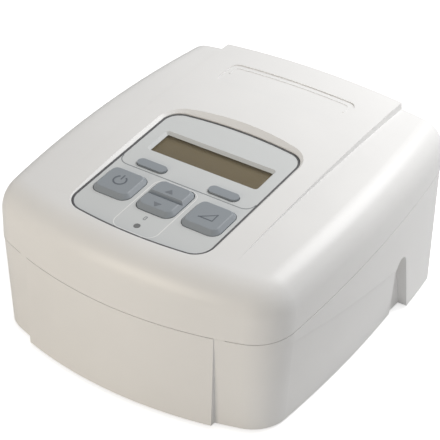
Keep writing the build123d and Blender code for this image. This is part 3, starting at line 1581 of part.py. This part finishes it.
lead_front = lead_plug_y + ribbon_socket_depth / 2
can_reach = motor_diameter / 2 - motor_wall / 4
lead_rear = blower_y - math.sqrt(can_reach**2 - (blower_x - lead_x) ** 2)
with BuildPart() as motor_lead:
    with BuildSketch(front_view(lead_rear)):
        with Locations((lead_x, lead_height)):
            Circle(lead_diameter / 2)
    extrude(amount=lead_rear - lead_front)
motor_lead.part.label = "motor_lead"
export_step(motor_lead.part, "parts/motor_lead.step")
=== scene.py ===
import math

import bpy
from mathutils import Matrix, Vector


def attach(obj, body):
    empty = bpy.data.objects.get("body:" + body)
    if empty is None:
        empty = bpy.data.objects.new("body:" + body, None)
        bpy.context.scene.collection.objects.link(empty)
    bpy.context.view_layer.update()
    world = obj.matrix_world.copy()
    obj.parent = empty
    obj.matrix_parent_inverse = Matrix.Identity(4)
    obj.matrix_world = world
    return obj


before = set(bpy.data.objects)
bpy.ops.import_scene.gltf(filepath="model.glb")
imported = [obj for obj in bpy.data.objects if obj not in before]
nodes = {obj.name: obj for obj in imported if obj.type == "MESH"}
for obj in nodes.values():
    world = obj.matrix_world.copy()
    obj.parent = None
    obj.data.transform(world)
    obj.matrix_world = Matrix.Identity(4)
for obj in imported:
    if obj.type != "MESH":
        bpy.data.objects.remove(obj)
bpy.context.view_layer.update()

bpy.ops.object.select_all(action="DESELECT")
bpy.context.scene.view_settings.view_transform = "Standard"

# Camera: stands in front of the machine's right corner and looks down on it, as the
# photographer did. Its place was worked out from the case's edges and seams.
view_target = Vector((-0.0042, -0.0034, 0.0415))
view_azimuth = math.radians(33.22)
view_elevation = math.radians(33.65)
view_roll = math.radians(1.60)
view_distance = 0.795
back = Vector((
    math.sin(view_azimuth) * math.cos(view_elevation),
    -math.cos(view_azimuth) * math.cos(view_elevation),
    math.sin(view_elevation),
))
level_right = Vector((math.cos(view_azimuth), math.sin(view_azimuth), 0))
level_up = back.cross(level_right)
view_right = level_right * math.cos(view_roll) + level_up * math.sin(view_roll)
view_up = level_up * math.cos(view_roll) - level_right * math.sin(view_roll)
photo_camera = bpy.data.objects.new("photo_camera", bpy.data.cameras.new("photo_camera"))
photo_camera.data.sensor_width = 36
photo_camera.data.lens = 136.6
photo_camera.data.clip_start = 0.01
photo_camera.matrix_world = Matrix.Translation(view_target + back * view_distance) @ Matrix(
    (view_right, view_up, back)
).transposed().to_4x4()
bpy.context.scene.collection.objects.link(photo_camera)
bpy.context.scene.camera = photo_camera

# Studio: a pale floor in a surround that looks white but lights the machine only softly, one soft
# lamp above its right rear, and a larger, warmer one low in front.
surround = bpy.data.worlds.new("white_surround")
surround.use_nodes = True
bpy.context.scene.world = surround
tree = surround.node_tree
tree.nodes.clear()
rays = tree.nodes.new("ShaderNodeLightPath")
seen = tree.nodes.new("ShaderNodeMath")
seen.operation = "MAXIMUM"
tree.links.new(rays.outputs["Is Camera Ray"], seen.inputs[0])
tree.links.new(rays.outputs["Is Glossy Ray"], seen.inputs[1])
light_level = tree.nodes.new("ShaderNodeMapRange")
light_level.inputs["To Min"].default_value = 0.385
light_level.inputs["To Max"].default_value = 1.0
tree.links.new(seen.outputs["Value"], light_level.inputs["Value"])
background = tree.nodes.new("ShaderNodeBackground")
background.inputs["Color"].default_value = (1, 1, 1, 1)
tree.links.new(light_level.outputs["Result"], background.inputs["Strength"])
world_output = tree.nodes.new("ShaderNodeOutputWorld")
tree.links.new(background.outputs["Background"], world_output.inputs["Surface"])

lamp_aim = Vector((0, 0, 0.05))
for lamp_name, lamp_place, lamp_size, lamp_power, lamp_colour in (
    ("main_lamp", (0.155, 0.235, 0.40), 0.30, 1.42, (1.0, 1.0, 1.0)),
    ("fill_lamp", (-0.25, -0.90, 0.16), 0.60, 3.75, (1.0, 0.893, 0.735)),
):
    bpy.ops.object.light_add(type="AREA", location=lamp_place)
    lamp = bpy.context.object
    lamp.name = lamp_name
    lamp.data.shape = "DISK"
    lamp.data.size = lamp_size
    lamp.data.energy = lamp_power
    lamp.data.color = lamp_colour
    lamp.visible_camera = False
    lamp.rotation_euler = (Vector(lamp_place) - lamp_aim).to_track_quat("Z", "Y").to_euler()
    lamp.select_set(False)

bpy.ops.mesh.primitive_plane_add(size=6, location=(0, 0, 0))
studio_floor = bpy.context.object
studio_floor.name = "studio_floor"
floor_paper = bpy.data.materials.new("floor_paper")
floor_paper.use_nodes = True
tree = floor_paper.node_tree
floor_shader = tree.nodes["Principled BSDF"]
floor_shader.inputs["Base Color"].default_value = (0.84, 0.84, 0.84, 1)
floor_shader.inputs["Roughness"].default_value = 0.95
floor_shader.inputs["Specular IOR Level"].default_value = 0.1
rays = tree.nodes.new("ShaderNodeLightPath")
shown = tree.nodes.new("ShaderNodeMapRange")
shown.inputs["To Max"].default_value = 0.64
tree.links.new(rays.outputs["Is Camera Ray"], shown.inputs["Value"])
floor_shader.inputs["Emission Color"].default_value = (1, 1, 1, 1)
tree.links.new(shown.outputs["Result"], floor_shader.inputs["Emission Strength"])
studio_floor.data.materials.append(floor_paper)


# Case shells: top cover and lower case, two ivory ABS mouldings with a fine spark-eroded grain.
# The cover drops over a tongue on the case, and four screws from below hold the two together.
def start_material(name):
    """An empty material: itself, its node tree, its shader and the piece's own coordinates."""
    material = bpy.data.materials.new(name)
    material.use_nodes = True
    tree = material.node_tree
    place = tree.nodes.new("ShaderNodeTexCoord")
    return material, tree, tree.nodes["Principled BSDF"], place.outputs["Object"]


def add_noise(tree, place, scale, detail=2, distortion=0):
    """A cloudy pattern from 0 to 1 in the piece's own coordinates."""
    noise = tree.nodes.new("ShaderNodeTexNoise")
    noise.inputs["Scale"].default_value = scale
    noise.inputs["Detail"].default_value = detail
    noise.inputs["Distortion"].default_value = distortion
    tree.links.new(place, noise.inputs["Vector"])
    return noise.outputs["Fac"]


def vary_number(tree, pattern, low, high, socket):
    """Lets a pattern vary a socket's number between low and high."""
    span = tree.nodes.new("ShaderNodeMapRange")
    span.inputs["To Min"].default_value = low
    span.inputs["To Max"].default_value = high
    tree.links.new(pattern, span.inputs["Value"])
    tree.links.new(span.outputs["Result"], socket)


def mix_colours(tree, pattern, first, second, socket):
    """Lets a pattern blend a socket's colour evenly from the first to the second."""
    blend = tree.nodes.new("ShaderNodeMix")
    blend.data_type = "RGBA"
    blend.inputs["A"].default_value = (*first, 1)
    blend.inputs["B"].default_value = (*second, 1)
    tree.links.new(pattern, blend.inputs["Factor"])
    tree.links.new(blend.outputs["Result"], socket)


def add_relief(tree, pattern, strength, depth, shader):
    """Lets a pattern raise the surface by depth, in metres."""
    bump = tree.nodes.new("ShaderNodeBump")
    bump.inputs["Strength"].default_value = strength
    bump.inputs["Distance"].default_value = depth
    tree.links.new(pattern, bump.inputs["Height"])
    tree.links.new(bump.outputs["Normal"], shader.inputs["Normal"])


def shaded(colour, factor):
    """A colour made darker or lighter, each channel kept at 1 or below."""
    return tuple(min(1, channel * factor) for channel in colour)


def moulded_plastic(name, colour, roughness, grain_size, grain_depth, shade=0.03):
    """Moulded plastic: a fine grain, a faint cloudiness in its colour and an uneven sheen."""
    material, tree, shader, place = start_material(name)
    cloud = add_noise(tree, place, scale=35, detail=3)
    base_colour = shader.inputs["Base Color"]
    mix_colours(tree, cloud, shaded(colour, 1 - shade), shaded(colour, 1 + shade), base_colour)
    vary_number(tree, cloud, roughness - 0.05, roughness + 0.05, shader.inputs["Roughness"])
    grain = add_noise(tree, place, scale=1 / grain_size)
    add_relief(tree, grain, 0.5, grain_depth, shader)
    return material


def dress(node_name, material):
    """A CAD node whose shape is right gets its finished material."""
    meshes = nodes[node_name].data
    meshes.materials.clear()
    meshes.materials.append(material)


ivory_plastic = moulded_plastic("ivory_plastic", (0.78, 0.774, 0.764), 0.36, 0.0004, 0.00002)
dress("top_cover", ivory_plastic)
dress("lower_case", ivory_plastic)

# Badge frame: a low moulded bead along the rear half of the bare badge recess. It is part of the
# same ivory moulding, so its outline is laid onto the crown of the top from above.
badge_middle_y, above_top = 0.044, 0.095
badge_half_width, badge_half_depth, badge_corner = 0.0324, 0.0067, 0.0026
bead_width, bead_height, bead_round = 0.0007, 0.00022, 0.00008
bpy.ops.mesh.primitive_circle_add(vertices=160, radius=1, fill_type="NGON")
badge_bead = bpy.context.object
badge_bead.name = "badge_bead"
straight_x, straight_y = badge_half_width - badge_corner, badge_half_depth - badge_corner
for vertex in badge_bead.data.vertices:
    outer = Vector((vertex.co.x * badge_half_width, vertex.co.y * badge_half_depth))
    outer /= max(abs(vertex.co.x), abs(vertex.co.y))
    corner = Vector((
        math.copysign(min(abs(outer.x), straight_x), outer.x),
        math.copysign(min(abs(outer.y), straight_y), outer.y),
    ))
    if abs(outer.x) > straight_x and abs(outer.y) > straight_y:
        outer = corner + (outer - corner).normalized() * badge_corner
    vertex.co = (outer.x, outer.y + badge_middle_y, above_top)
bpy.ops.object.mode_set(mode="EDIT")
bpy.ops.mesh.select_all(action="SELECT")
bpy.ops.mesh.inset(thickness=bead_width)
bpy.ops.mesh.delete(type="FACE")
bpy.ops.mesh.select_all(action="SELECT")
bpy.ops.mesh.bisect(plane_co=(0, badge_middle_y, 0), plane_no=(0, 1, 0), clear_inner=True)
bpy.ops.object.mode_set(mode="OBJECT")
fall = badge_bead.modifiers.new("fall", "SHRINKWRAP")
fall.wrap_method = "PROJECT"
fall.use_project_z = True
fall.use_negative_direction = True
fall.use_positive_direction = False
fall.target = nodes["top_cover"]
bpy.ops.object.modifier_apply(modifier="fall")
wall = badge_bead.modifiers.new("wall", "SOLIDIFY")
wall.thickness = bead_height
wall.offset = 1
bpy.ops.object.modifier_apply(modifier="wall")
edge = badge_bead.modifiers.new("edge", "BEVEL")
edge.width = bead_round
edge.segments = 2
bpy.ops.object.modifier_apply(modifier="edge")
badge_bead.data.materials.append(ivory_plastic)
badge_bead.select_set(False)
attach(badge_bead, "case")


# Feet: four round pads of grey-black rubber, pressed into cups in the case's floor.
def ramp_colours(tree, pattern, dark_end, dark, light_end, light, socket):
    """Lets a pattern colour a socket: dark up to dark_end, light from light_end on."""
    tint = tree.nodes.new("ShaderNodeValToRGB")
    tint.color_ramp.elements[0].position = dark_end
    tint.color_ramp.elements[0].color = (*dark, 1)
    tint.color_ramp.elements[1].position = light_end
    tint.color_ramp.elements[1].color = (*light, 1)
    tree.links.new(pattern, tint.inputs["Fac"])
    tree.links.new(tint.outputs["Color"], socket)


def moulded_rubber(name, colour, roughness=0.78):
    """Moulded rubber: dull, a little mottled, with fine dust-like bumps."""
    material, tree, shader, place = start_material(name)
    shader.inputs["Specular IOR Level"].default_value = 0.3
    mottle = add_noise(tree, place, scale=220, detail=6)
    dark, light = shaded(colour, 0.8), shaded(colour, 1.25)
    ramp_colours(tree, mottle, 0.3, dark, 0.75, light, shader.inputs["Base Color"])
    vary_number(tree, mottle, roughness - 0.08, roughness + 0.1, shader.inputs["Roughness"])
    dust = add_noise(tree, place, scale=1800)
    add_relief(tree, dust, 0.6, 0.00004, shader)
    return material


black_rubber = moulded_rubber("black_rubber", (0.055, 0.055, 0.057))
dress("rubber_feet", black_rubber)


# Case screws: four zinc-plated self-tapping screws with a cross recess, driven from below.
def stretch_place(tree, place, scale, rotation=(0, 0, 0)):
    """The piece's coordinates, stretched so that an even pattern turns into streaks."""
    stretch = tree.nodes.new("ShaderNodeMapping")
    stretch.inputs["Scale"].default_value = scale
    stretch.inputs["Rotation"].default_value = rotation
    tree.links.new(place, stretch.inputs["Vector"])
    return stretch.outputs["Vector"]


def drawn_metal(name, colour, roughness, streak_scale):
    """Bare or plated metal with the fine streaks that drawing, grinding or turning leaves."""
    material, tree, shader, place = start_material(name)
    shader.inputs["Metallic"].default_value = 1
    drawn = stretch_place(tree, place, streak_scale)
    streaks = add_noise(tree, drawn, scale=1, detail=4)
    dark, light = shaded(colour, 0.85), shaded(colour, 1.1)
    ramp_colours(tree, streaks, 0.25, dark, 0.75, light, shader.inputs["Base Color"])
    vary_number(tree, streaks, roughness - 0.06, roughness + 0.08, shader.inputs["Roughness"])
    add_relief(tree, streaks, 0.3, 0.00002, shader)
    return material


zinc_plate = drawn_metal("zinc_plate", (0.66, 0.66, 0.65), 0.34, (600, 600, 2500))
dress("case_screws", zinc_plate)

# Control panel: a silver-grey moulded plate that lies in the cover's seat, 0.6 mm clear of it
# all round. Places on it are measured from the sloping panel's own origin.
panel_plastic = moulded_plastic("panel_plastic", (0.60, 0.615, 0.615), 0.40, 0.0003, 0.00001)
dress("control_panel", panel_plastic)
panel_origin, panel_slope = Vector((0, -0.014, 0.085)), math.radians(5.7)
panel_place = Matrix.Translation(panel_origin) @ Matrix.Rotation(panel_slope, 4, "X")
to_panel = panel_place.inverted()

# Painted gap shade: a dark, rubber-like strip that fills the gap round the panel's edge and laps
# over its rim, painted shade standing in for the gap's shadow. It is shaped on the panel's own
# side faces, apart from those of its openings.
gap_shade_thickness, gap_shade_rise, gap_shade_depth = 0.0011, 0.00008, 0.0012
openings_half_width, openings_front, openings_rear = 0.0352, -0.0600, 0.0130
indicator_y, indicator_reach = -0.0616, 0.003
steepest_side = 0.3
gap_shade_strip = bpy.data.objects.new("gap_shade_strip", nodes["control_panel"].data.copy())
bpy.context.scene.collection.objects.link(gap_shade_strip)
bpy.context.view_layer.objects.active = gap_shade_strip
gap_shade_strip.select_set(True)
bpy.ops.object.mode_set(mode="EDIT")
bpy.ops.mesh.select_all(action="SELECT")
bpy.ops.mesh.remove_doubles(threshold=0.000002)
bpy.ops.mesh.bisect(
    plane_co=panel_place @ Vector((0, 0, -gap_shade_depth)),
    plane_no=panel_place.to_3x3() @ Vector((0, 0, 1)),
    clear_inner=True,
)
bpy.ops.mesh.select_all(action="DESELECT")
bpy.ops.object.mode_set(mode="OBJECT")
for face in gap_shade_strip.data.polygons:
    spot = to_panel @ face.center
    not_a_side = abs((to_panel.to_3x3() @ face.normal).z) > steepest_side
    between = openings_front < spot.y < openings_rear
    at_openings = between and abs(spot.x) < openings_half_width
    at_indicator = math.hypot(spot.x, spot.y - indicator_y) < indicator_reach
    face.select = not_a_side or at_openings or at_indicator
bpy.ops.object.mode_set(mode="EDIT")
bpy.ops.mesh.delete(type="FACE")
bpy.ops.object.mode_set(mode="OBJECT")
strip = gap_shade_strip.modifiers.new("strip", "SOLIDIFY")
strip.thickness = gap_shade_thickness
strip.offset = 0
bpy.ops.object.modifier_apply(modifier="strip")
gap_shade_strip.data.transform(panel_place @ Matrix.Translation((0, 0, gap_shade_rise)) @ to_panel)
gap_shade_strip.data.materials.clear()
# Dark grey: the strip's colour is painted shade for the gap round the panel.
gap_shade_strip.data.materials.append(moulded_rubber("gap_shade_rubber", (0.11, 0.11, 0.115), 0.7))
gap_shade_strip.select_set(False)
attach(gap_shade_strip, "case")

# Printed lines: thin ink on the panel. A grey line parts the display from the keys, a white one
# frames the rocker, and a small grey outline stands behind the indicator.
ink_thickness, ink_sink = 0.00006, 0.00002
frame_corner, frame_line = 0.0052, 0.00045


def printed_mark(name, corners, level, ink, body, corner_radius=0, line=0, cut_behind=None):
    """A mark printed at a level above the panel: filled, or with a line only its outline."""
    bpy.ops.mesh.primitive_circle_add(vertices=len(corners), radius=1, fill_type="NGON")
    mark = bpy.context.object
    mark.name = name
    for vertex, corner in zip(mark.data.vertices, corners):
        vertex.co = (*corner, 0)
    bpy.ops.object.mode_set(mode="EDIT")
    bpy.ops.mesh.select_all(action="SELECT")
    if corner_radius:
        bpy.ops.mesh.bevel(offset=corner_radius, segments=8, affect="VERTICES")
        bpy.ops.mesh.select_all(action="SELECT")
    if line:
        bpy.ops.mesh.inset(thickness=line)
        bpy.ops.mesh.delete(type="FACE")
        bpy.ops.mesh.select_all(action="SELECT")
    if cut_behind:
        bpy.ops.mesh.bisect(plane_co=(0, cut_behind, 0), plane_no=(0, 1, 0), clear_outer=True)
        bpy.ops.mesh.select_all(action="SELECT")
    bpy.ops.mesh.normals_make_consistent(inside=False)
    bpy.ops.object.mode_set(mode="OBJECT")
    if mark.data.polygons[0].normal.z < 0:
        mark.data.flip_normals()
    film = mark.modifiers.new("film", "SOLIDIFY")
    film.thickness = ink_thickness
    film.offset = 1
    bpy.ops.object.modifier_apply(modifier="film")
    mark.data.transform(panel_place @ Matrix.Translation((0, 0, level - ink_sink)))
    mark.data.materials.append(ink)
    mark.select_set(False)
    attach(mark, body)


def rectangle(middle_x, half_width, front, rear):
    """The corners of a rectangle on the panel, anticlockwise from the front left."""
    left, right = middle_x - half_width, middle_x + half_width
    return (left, front), (right, front), (right, rear), (left, rear)


grey_ink = moulded_plastic("grey_ink", (0.235, 0.25, 0.26), 0.45, 0.0003, 0.000005)
divider = rectangle(0, 0.0362, -0.0279, 0.0120)
printed_mark(
    "panel_divider", divider, 0, grey_ink, "case",
    corner_radius=frame_corner, line=frame_line, cut_behind=-0.0225,
)
white_ink = moulded_plastic("white_ink", (0.80, 0.80, 0.79), 0.45, 0.0003, 0.000005)
frame_corners = rectangle(0, 0.0117, -0.0668, -0.0287)
printed_mark(
    "rocker_frame", frame_corners, 0, white_ink, "case",
    corner_radius=frame_corner, line=frame_line,
)
small_outline = rectangle(0, 0.0007, -0.0568, -0.0541)
printed_mark(
    "indicator_mark", small_outline, 0, grey_ink, "case", corner_radius=0.0006, line=0.0004
)


# Display: a clear cover glued under the panel's opening, and below it the dark olive glass in
# its black frame.
def clear_plastic(name, tint, roughness):
    """Clear moulded plastic with a very slight waviness: it only tints what lies behind it."""
    material, tree, shader, place = start_material(name)
    shader.inputs["Base Color"].default_value = (*tint, 1)
    shader.inputs["Alpha"].default_value = 0.08
    waves = add_noise(tree, place, scale=90)
    vary_number(tree, waves, roughness, roughness + 0.04, shader.inputs["Roughness"])
    add_relief(tree, waves, 0.1, 0.00002, shader)
    return material


dress("display_window", clear_plastic("window_plastic", (0.70, 0.60, 0.42), 0.02))
display_film = moulded_plastic("display_film", (0.090, 0.069, 0.033), 0.35, 0.0012, 0.0000003)
display_shader = display_film.node_tree.nodes["Principled BSDF"]
display_shader.inputs["Specular IOR Level"].default_value = 0.15
dress("lcd_glass", display_film)
black_plastic = moulded_plastic(
    "black_plastic", (0.035, 0.035, 0.037), 0.45, 0.0003, 0.00002, shade=0.12
)
dress("lcd_frame", black_plastic)


# Display board: green lacquered board with etched tracks, held under the panel by four screws.
# The keypad mat, one sheet of grey silicone rubber, lies on it under the keys.
def track_board(name, lacquer, track):
    """A lacquered circuit board: copper tracks show lighter through the lacquer."""
    material, tree, shader, place = start_material(name)
    shader.inputs["Roughness"].default_value = 0.32
    shader.inputs["Coat Weight"].default_value = 0.4
    tracks = tree.nodes.new("ShaderNodeTexBrick")
    tracks.inputs["Scale"].default_value = 1
    tracks.inputs["Brick Width"].default_value = 0.0062
    tracks.inputs["Row Height"].default_value = 0.0019
    tracks.inputs["Mortar Size"].default_value = 0.00022
    tracks.inputs["Mortar Smooth"].default_value = 0.1
    tracks.inputs["Color1"].default_value = (*lacquer, 1)
    tracks.inputs["Color2"].default_value = (*shaded(lacquer, 0.9), 1)
    tracks.inputs["Mortar"].default_value = (*track, 1)
    tree.links.new(place, tracks.inputs["Vector"])
    tree.links.new(tracks.outputs["Color"], shader.inputs["Base Color"])
    add_relief(tree, tracks.outputs["Fac"], 0.6, 0.00004, shader)
    return material


green_board = track_board("green_board", (0.015, 0.13, 0.055), (0.06, 0.30, 0.11))
dress("display_board", green_board)
dress("display_screws", zinc_plate)
dress("keypad_mat", moulded_rubber("grey_silicone", (0.33, 0.34, 0.35), 0.62))

# Keys: blue-grey moulded caps that stand up through the panel on the keypad's springs. The
# power key carries a ring with a bar, the ramp key a rising wedge.
key_plastic = moulded_plastic("key_plastic", (0.255, 0.28, 0.305), 0.42, 0.0003, 0.00001)
for key in ("power_button", "ramp_button", "left_softkey", "right_softkey"):
    dress(key, key_plastic)
dark_ink = moulded_plastic("dark_ink", (0.095, 0.11, 0.13), 0.45, 0.0003, 0.000005)
key_top = 0.0021
ring_x, ring_y, ring_radius = -0.0242, -0.0412, 0.0034
ring_hole = 0.77 * ring_radius
gap_angle, ring_steps = 0.55, 40
arc_angle = 2 * (math.pi - gap_angle)
turns = [gap_angle + arc_angle * step / ring_steps for step in range(ring_steps + 1)]
ring = [
    (ring_x + radius * math.sin(turn), ring_y + radius * math.cos(turn))
    for radius, way in ((ring_radius, turns), (ring_hole, reversed(turns)))
    for turn in way
]
printed_mark("power_ring", ring, key_top, dark_ink, "power_button")
bar = rectangle(ring_x, 0.00033, ring_y + 0.0006, ring_y + 0.0040)
printed_mark("power_bar", bar, key_top, dark_ink, "power_button", corner_radius=0.0003)
wedge = (0.0200, -0.0443), (0.0277, -0.0443), (0.0277, -0.0388)
printed_mark(
    "ramp_wedge", wedge, key_top, dark_ink, "ramp_button", corner_radius=0.0002, line=0.00052
)

# Rocker: one cap for up and down, tilting on a steel pin in two ears under the panel. An arrow
# is printed on each half.
dress("scroll_rocker", key_plastic)
dress("rocker_pin", zinc_plate)
arrow_ink = moulded_plastic("arrow_ink", (0.15, 0.165, 0.185), 0.45, 0.0003, 0.000005)
arrow_half_width = 0.0021
for arrow_name, foot_y, tip_y in (("up_arrow", -0.0378, -0.0349), ("down_arrow", -0.0458, -0.0487)):
    arrow = (-arrow_half_width, foot_y), (arrow_half_width, foot_y), (0, tip_y)
    printed_mark(arrow_name, arrow, key_top, arrow_ink, "scroll_rocker", corner_radius=0.0002)

# Indicator: the smoky end of a light pipe that brings a lamp's light up from the board.
dress("light_pipe", moulded_plastic("smoky_plastic", (0.16, 0.165, 0.165), 0.18, 0.0006, 0.000003))


# Air box: a black two-part enclosure with a rubber gasket, lined with charcoal sound foam that
# is glued to its lid and walls.
def open_foam(name, colour, pore_size):
    """Open-pored foam: painted shade darkens the round pores between lighter struts."""
    material, tree, shader, place = start_material(name)
    shader.inputs["Roughness"].default_value = 0.95
    shader.inputs["Specular IOR Level"].default_value = 0.1
    pores = tree.nodes.new("ShaderNodeTexVoronoi")
    pores.inputs["Scale"].default_value = 1 / pore_size
    tree.links.new(place, pores.inputs["Vector"])
    depth = pores.outputs["Distance"]
    # Painted shade: the pores darken towards their middles, where shade falls in their hollows.
    dark, light = shaded(colour, 0.35), shaded(colour, 1.25)
    ramp_colours(tree, depth, 0.1, dark, 0.65, light, shader.inputs["Base Color"])
    add_relief(tree, depth, 0.9, pore_size / 3, shader)
    return material


dress("air_box_base", black_plastic)
dress("air_box_lid", black_plastic)
dress("air_box_gasket", black_rubber)
sound_foam = open_foam("sound_foam", (0.10, 0.10, 0.105), 0.0011)
dress("lid_foam", sound_foam)
dress("wall_foam", sound_foam)

# Blower housing: two grey half shells clipped together, standing on three rubber mounts.
grey_plastic = moulded_plastic(
    "grey_plastic", (0.36, 0.375, 0.385), 0.42, 0.00035, 0.00002, shade=0.05
)
dress("volute_lower", grey_plastic)
dress("volute_upper", grey_plastic)
dress("rubber_mounts", black_rubber)


# Motor: a turned aluminium can, two ball bearings, the laminated stator with its copper coils,
# and the rotor: steel shaft, sintered magnet and moulded impeller.
def wound_layers(name, colour, second_colour, pitch, metallic, roughness, direction):
    """Fine parallel layers, such as wire turns, sheet laminations or a ribbon's conductors."""
    wave_length = 0.314
    material, tree, shader, place = start_material(name)
    shader.inputs["Metallic"].default_value = metallic
    shader.inputs["Roughness"].default_value = roughness
    layers = tree.nodes.new("ShaderNodeTexWave")
    layers.bands_direction = direction
    layers.inputs["Scale"].default_value = wave_length / pitch
    layers.inputs["Distortion"].default_value = 0.3
    tree.links.new(place, layers.inputs["Vector"])
    pattern = layers.outputs["Fac"]
    mix_colours(tree, pattern, second_colour, colour, shader.inputs["Base Color"])
    add_relief(tree, pattern, 0.7, pitch / 4, shader)
    return material


dress("motor_can", drawn_metal("turned_aluminium", (0.72, 0.73, 0.74), 0.30, (120, 120, 6000)))
ground_steel = drawn_metal("ground_steel", (0.62, 0.62, 0.63), 0.16, (150, 150, 5000))
for turned_part in ("lower_bearing", "upper_bearing", "motor_shaft"):
    dress(turned_part, ground_steel)
dress("stator_core", wound_layers(
    "lamination_stack", (0.40, 0.40, 0.42), (0.16, 0.16, 0.17), 0.0005, 0.9, 0.45, "Z"
))
dress("stator_coils", wound_layers(
    "copper_wire", (0.72, 0.34, 0.17), (0.30, 0.11, 0.05), 0.0004, 1.0, 0.30, "Z"
))
dress("rotor_magnet", drawn_metal("sintered_magnet", (0.13, 0.13, 0.14), 0.50, (900, 900, 900)))
dress("impeller", moulded_plastic(
    "impeller_nylon", (0.62, 0.62, 0.60), 0.38, 0.0004, 0.00002, shade=0.05
))

# Air outlet: the hose spigot stands out of the rear collar on its flange, and a ribbed rubber
# boot joins it to the blower.
dress("air_outlet_port", grey_plastic)
dress("outlet_boot", black_rubber)


# Air inlet: a coarse foam filter over a fine fibre one, behind a louvred door on two stub pins.
def pressed_fibre(name, colour):
    """Felted white fibres: fine crossing streaks with soft hollows."""
    material, tree, shader, place = start_material(name)
    shader.inputs["Roughness"].default_value = 0.95
    shader.inputs["Sheen Weight"].default_value = 0.3
    lay = stretch_place(tree, place, (400, 400, 3000), rotation=(0, 0.6, 0))
    fibres = add_noise(tree, lay, scale=1, detail=6, distortion=1.5)
    mix_colours(tree, fibres, shaded(colour, 0.82), colour, shader.inputs["Base Color"])
    add_relief(tree, fibres, 0.8, 0.0001, shader)
    return material


dress("foam_filter", open_foam("filter_foam", (0.20, 0.21, 0.22), 0.0015))
dress("fine_filter", pressed_fibre("filter_fibre", (0.84, 0.84, 0.81)))
dress("filter_door", grey_plastic)

# Rear sockets: mains inlet, low-voltage jack and data socket, three black mouldings clipped
# into the lower case's rear wall.
for socket in ("mains_inlet", "dc_jack", "data_port"):
    dress(socket, black_plastic)

# Main and supply boards on their posts, with screws, transformer, capacitors, processor and
# pressure sensor soldered on.
dress("main_board", green_board)
dress("supply_board", green_board)
dress("board_screws", zinc_plate)
dress("transformer", wound_layers(
    "ferrite_core", (0.085, 0.08, 0.08), (0.045, 0.042, 0.042), 0.0012, 0.2, 0.6, "Y"
))
dress("supply_capacitors", wound_layers(
    "capacitor_sleeve", (0.03, 0.04, 0.09), (0.022, 0.03, 0.075), 0.006, 0.0, 0.25, "Z"
))
dress("processor", moulded_plastic(
    "chip_epoxy", (0.028, 0.028, 0.03), 0.55, 0.0002, 0.00003, shade=0.15
))
white_plastic = moulded_plastic(
    "white_plastic", (0.74, 0.735, 0.70), 0.45, 0.0003, 0.00002, shade=0.04
)
dress("pressure_sensor", white_plastic)

# Wiring: flat ribbon from the main board up to the display board in a white socket, and the
# motor's round lead with its plug on the supply board.
dress("ribbon_socket", white_plastic)
dress("motor_plug", white_plastic)
dress("ribbon_cable", wound_layers(
    "ribbon_sleeving", (0.55, 0.56, 0.57), (0.38, 0.39, 0.40), 0.00127, 0.0, 0.5, "X"
))
dress("motor_lead", moulded_rubber("lead_sleeving", (0.045, 0.045, 0.05), 0.55))
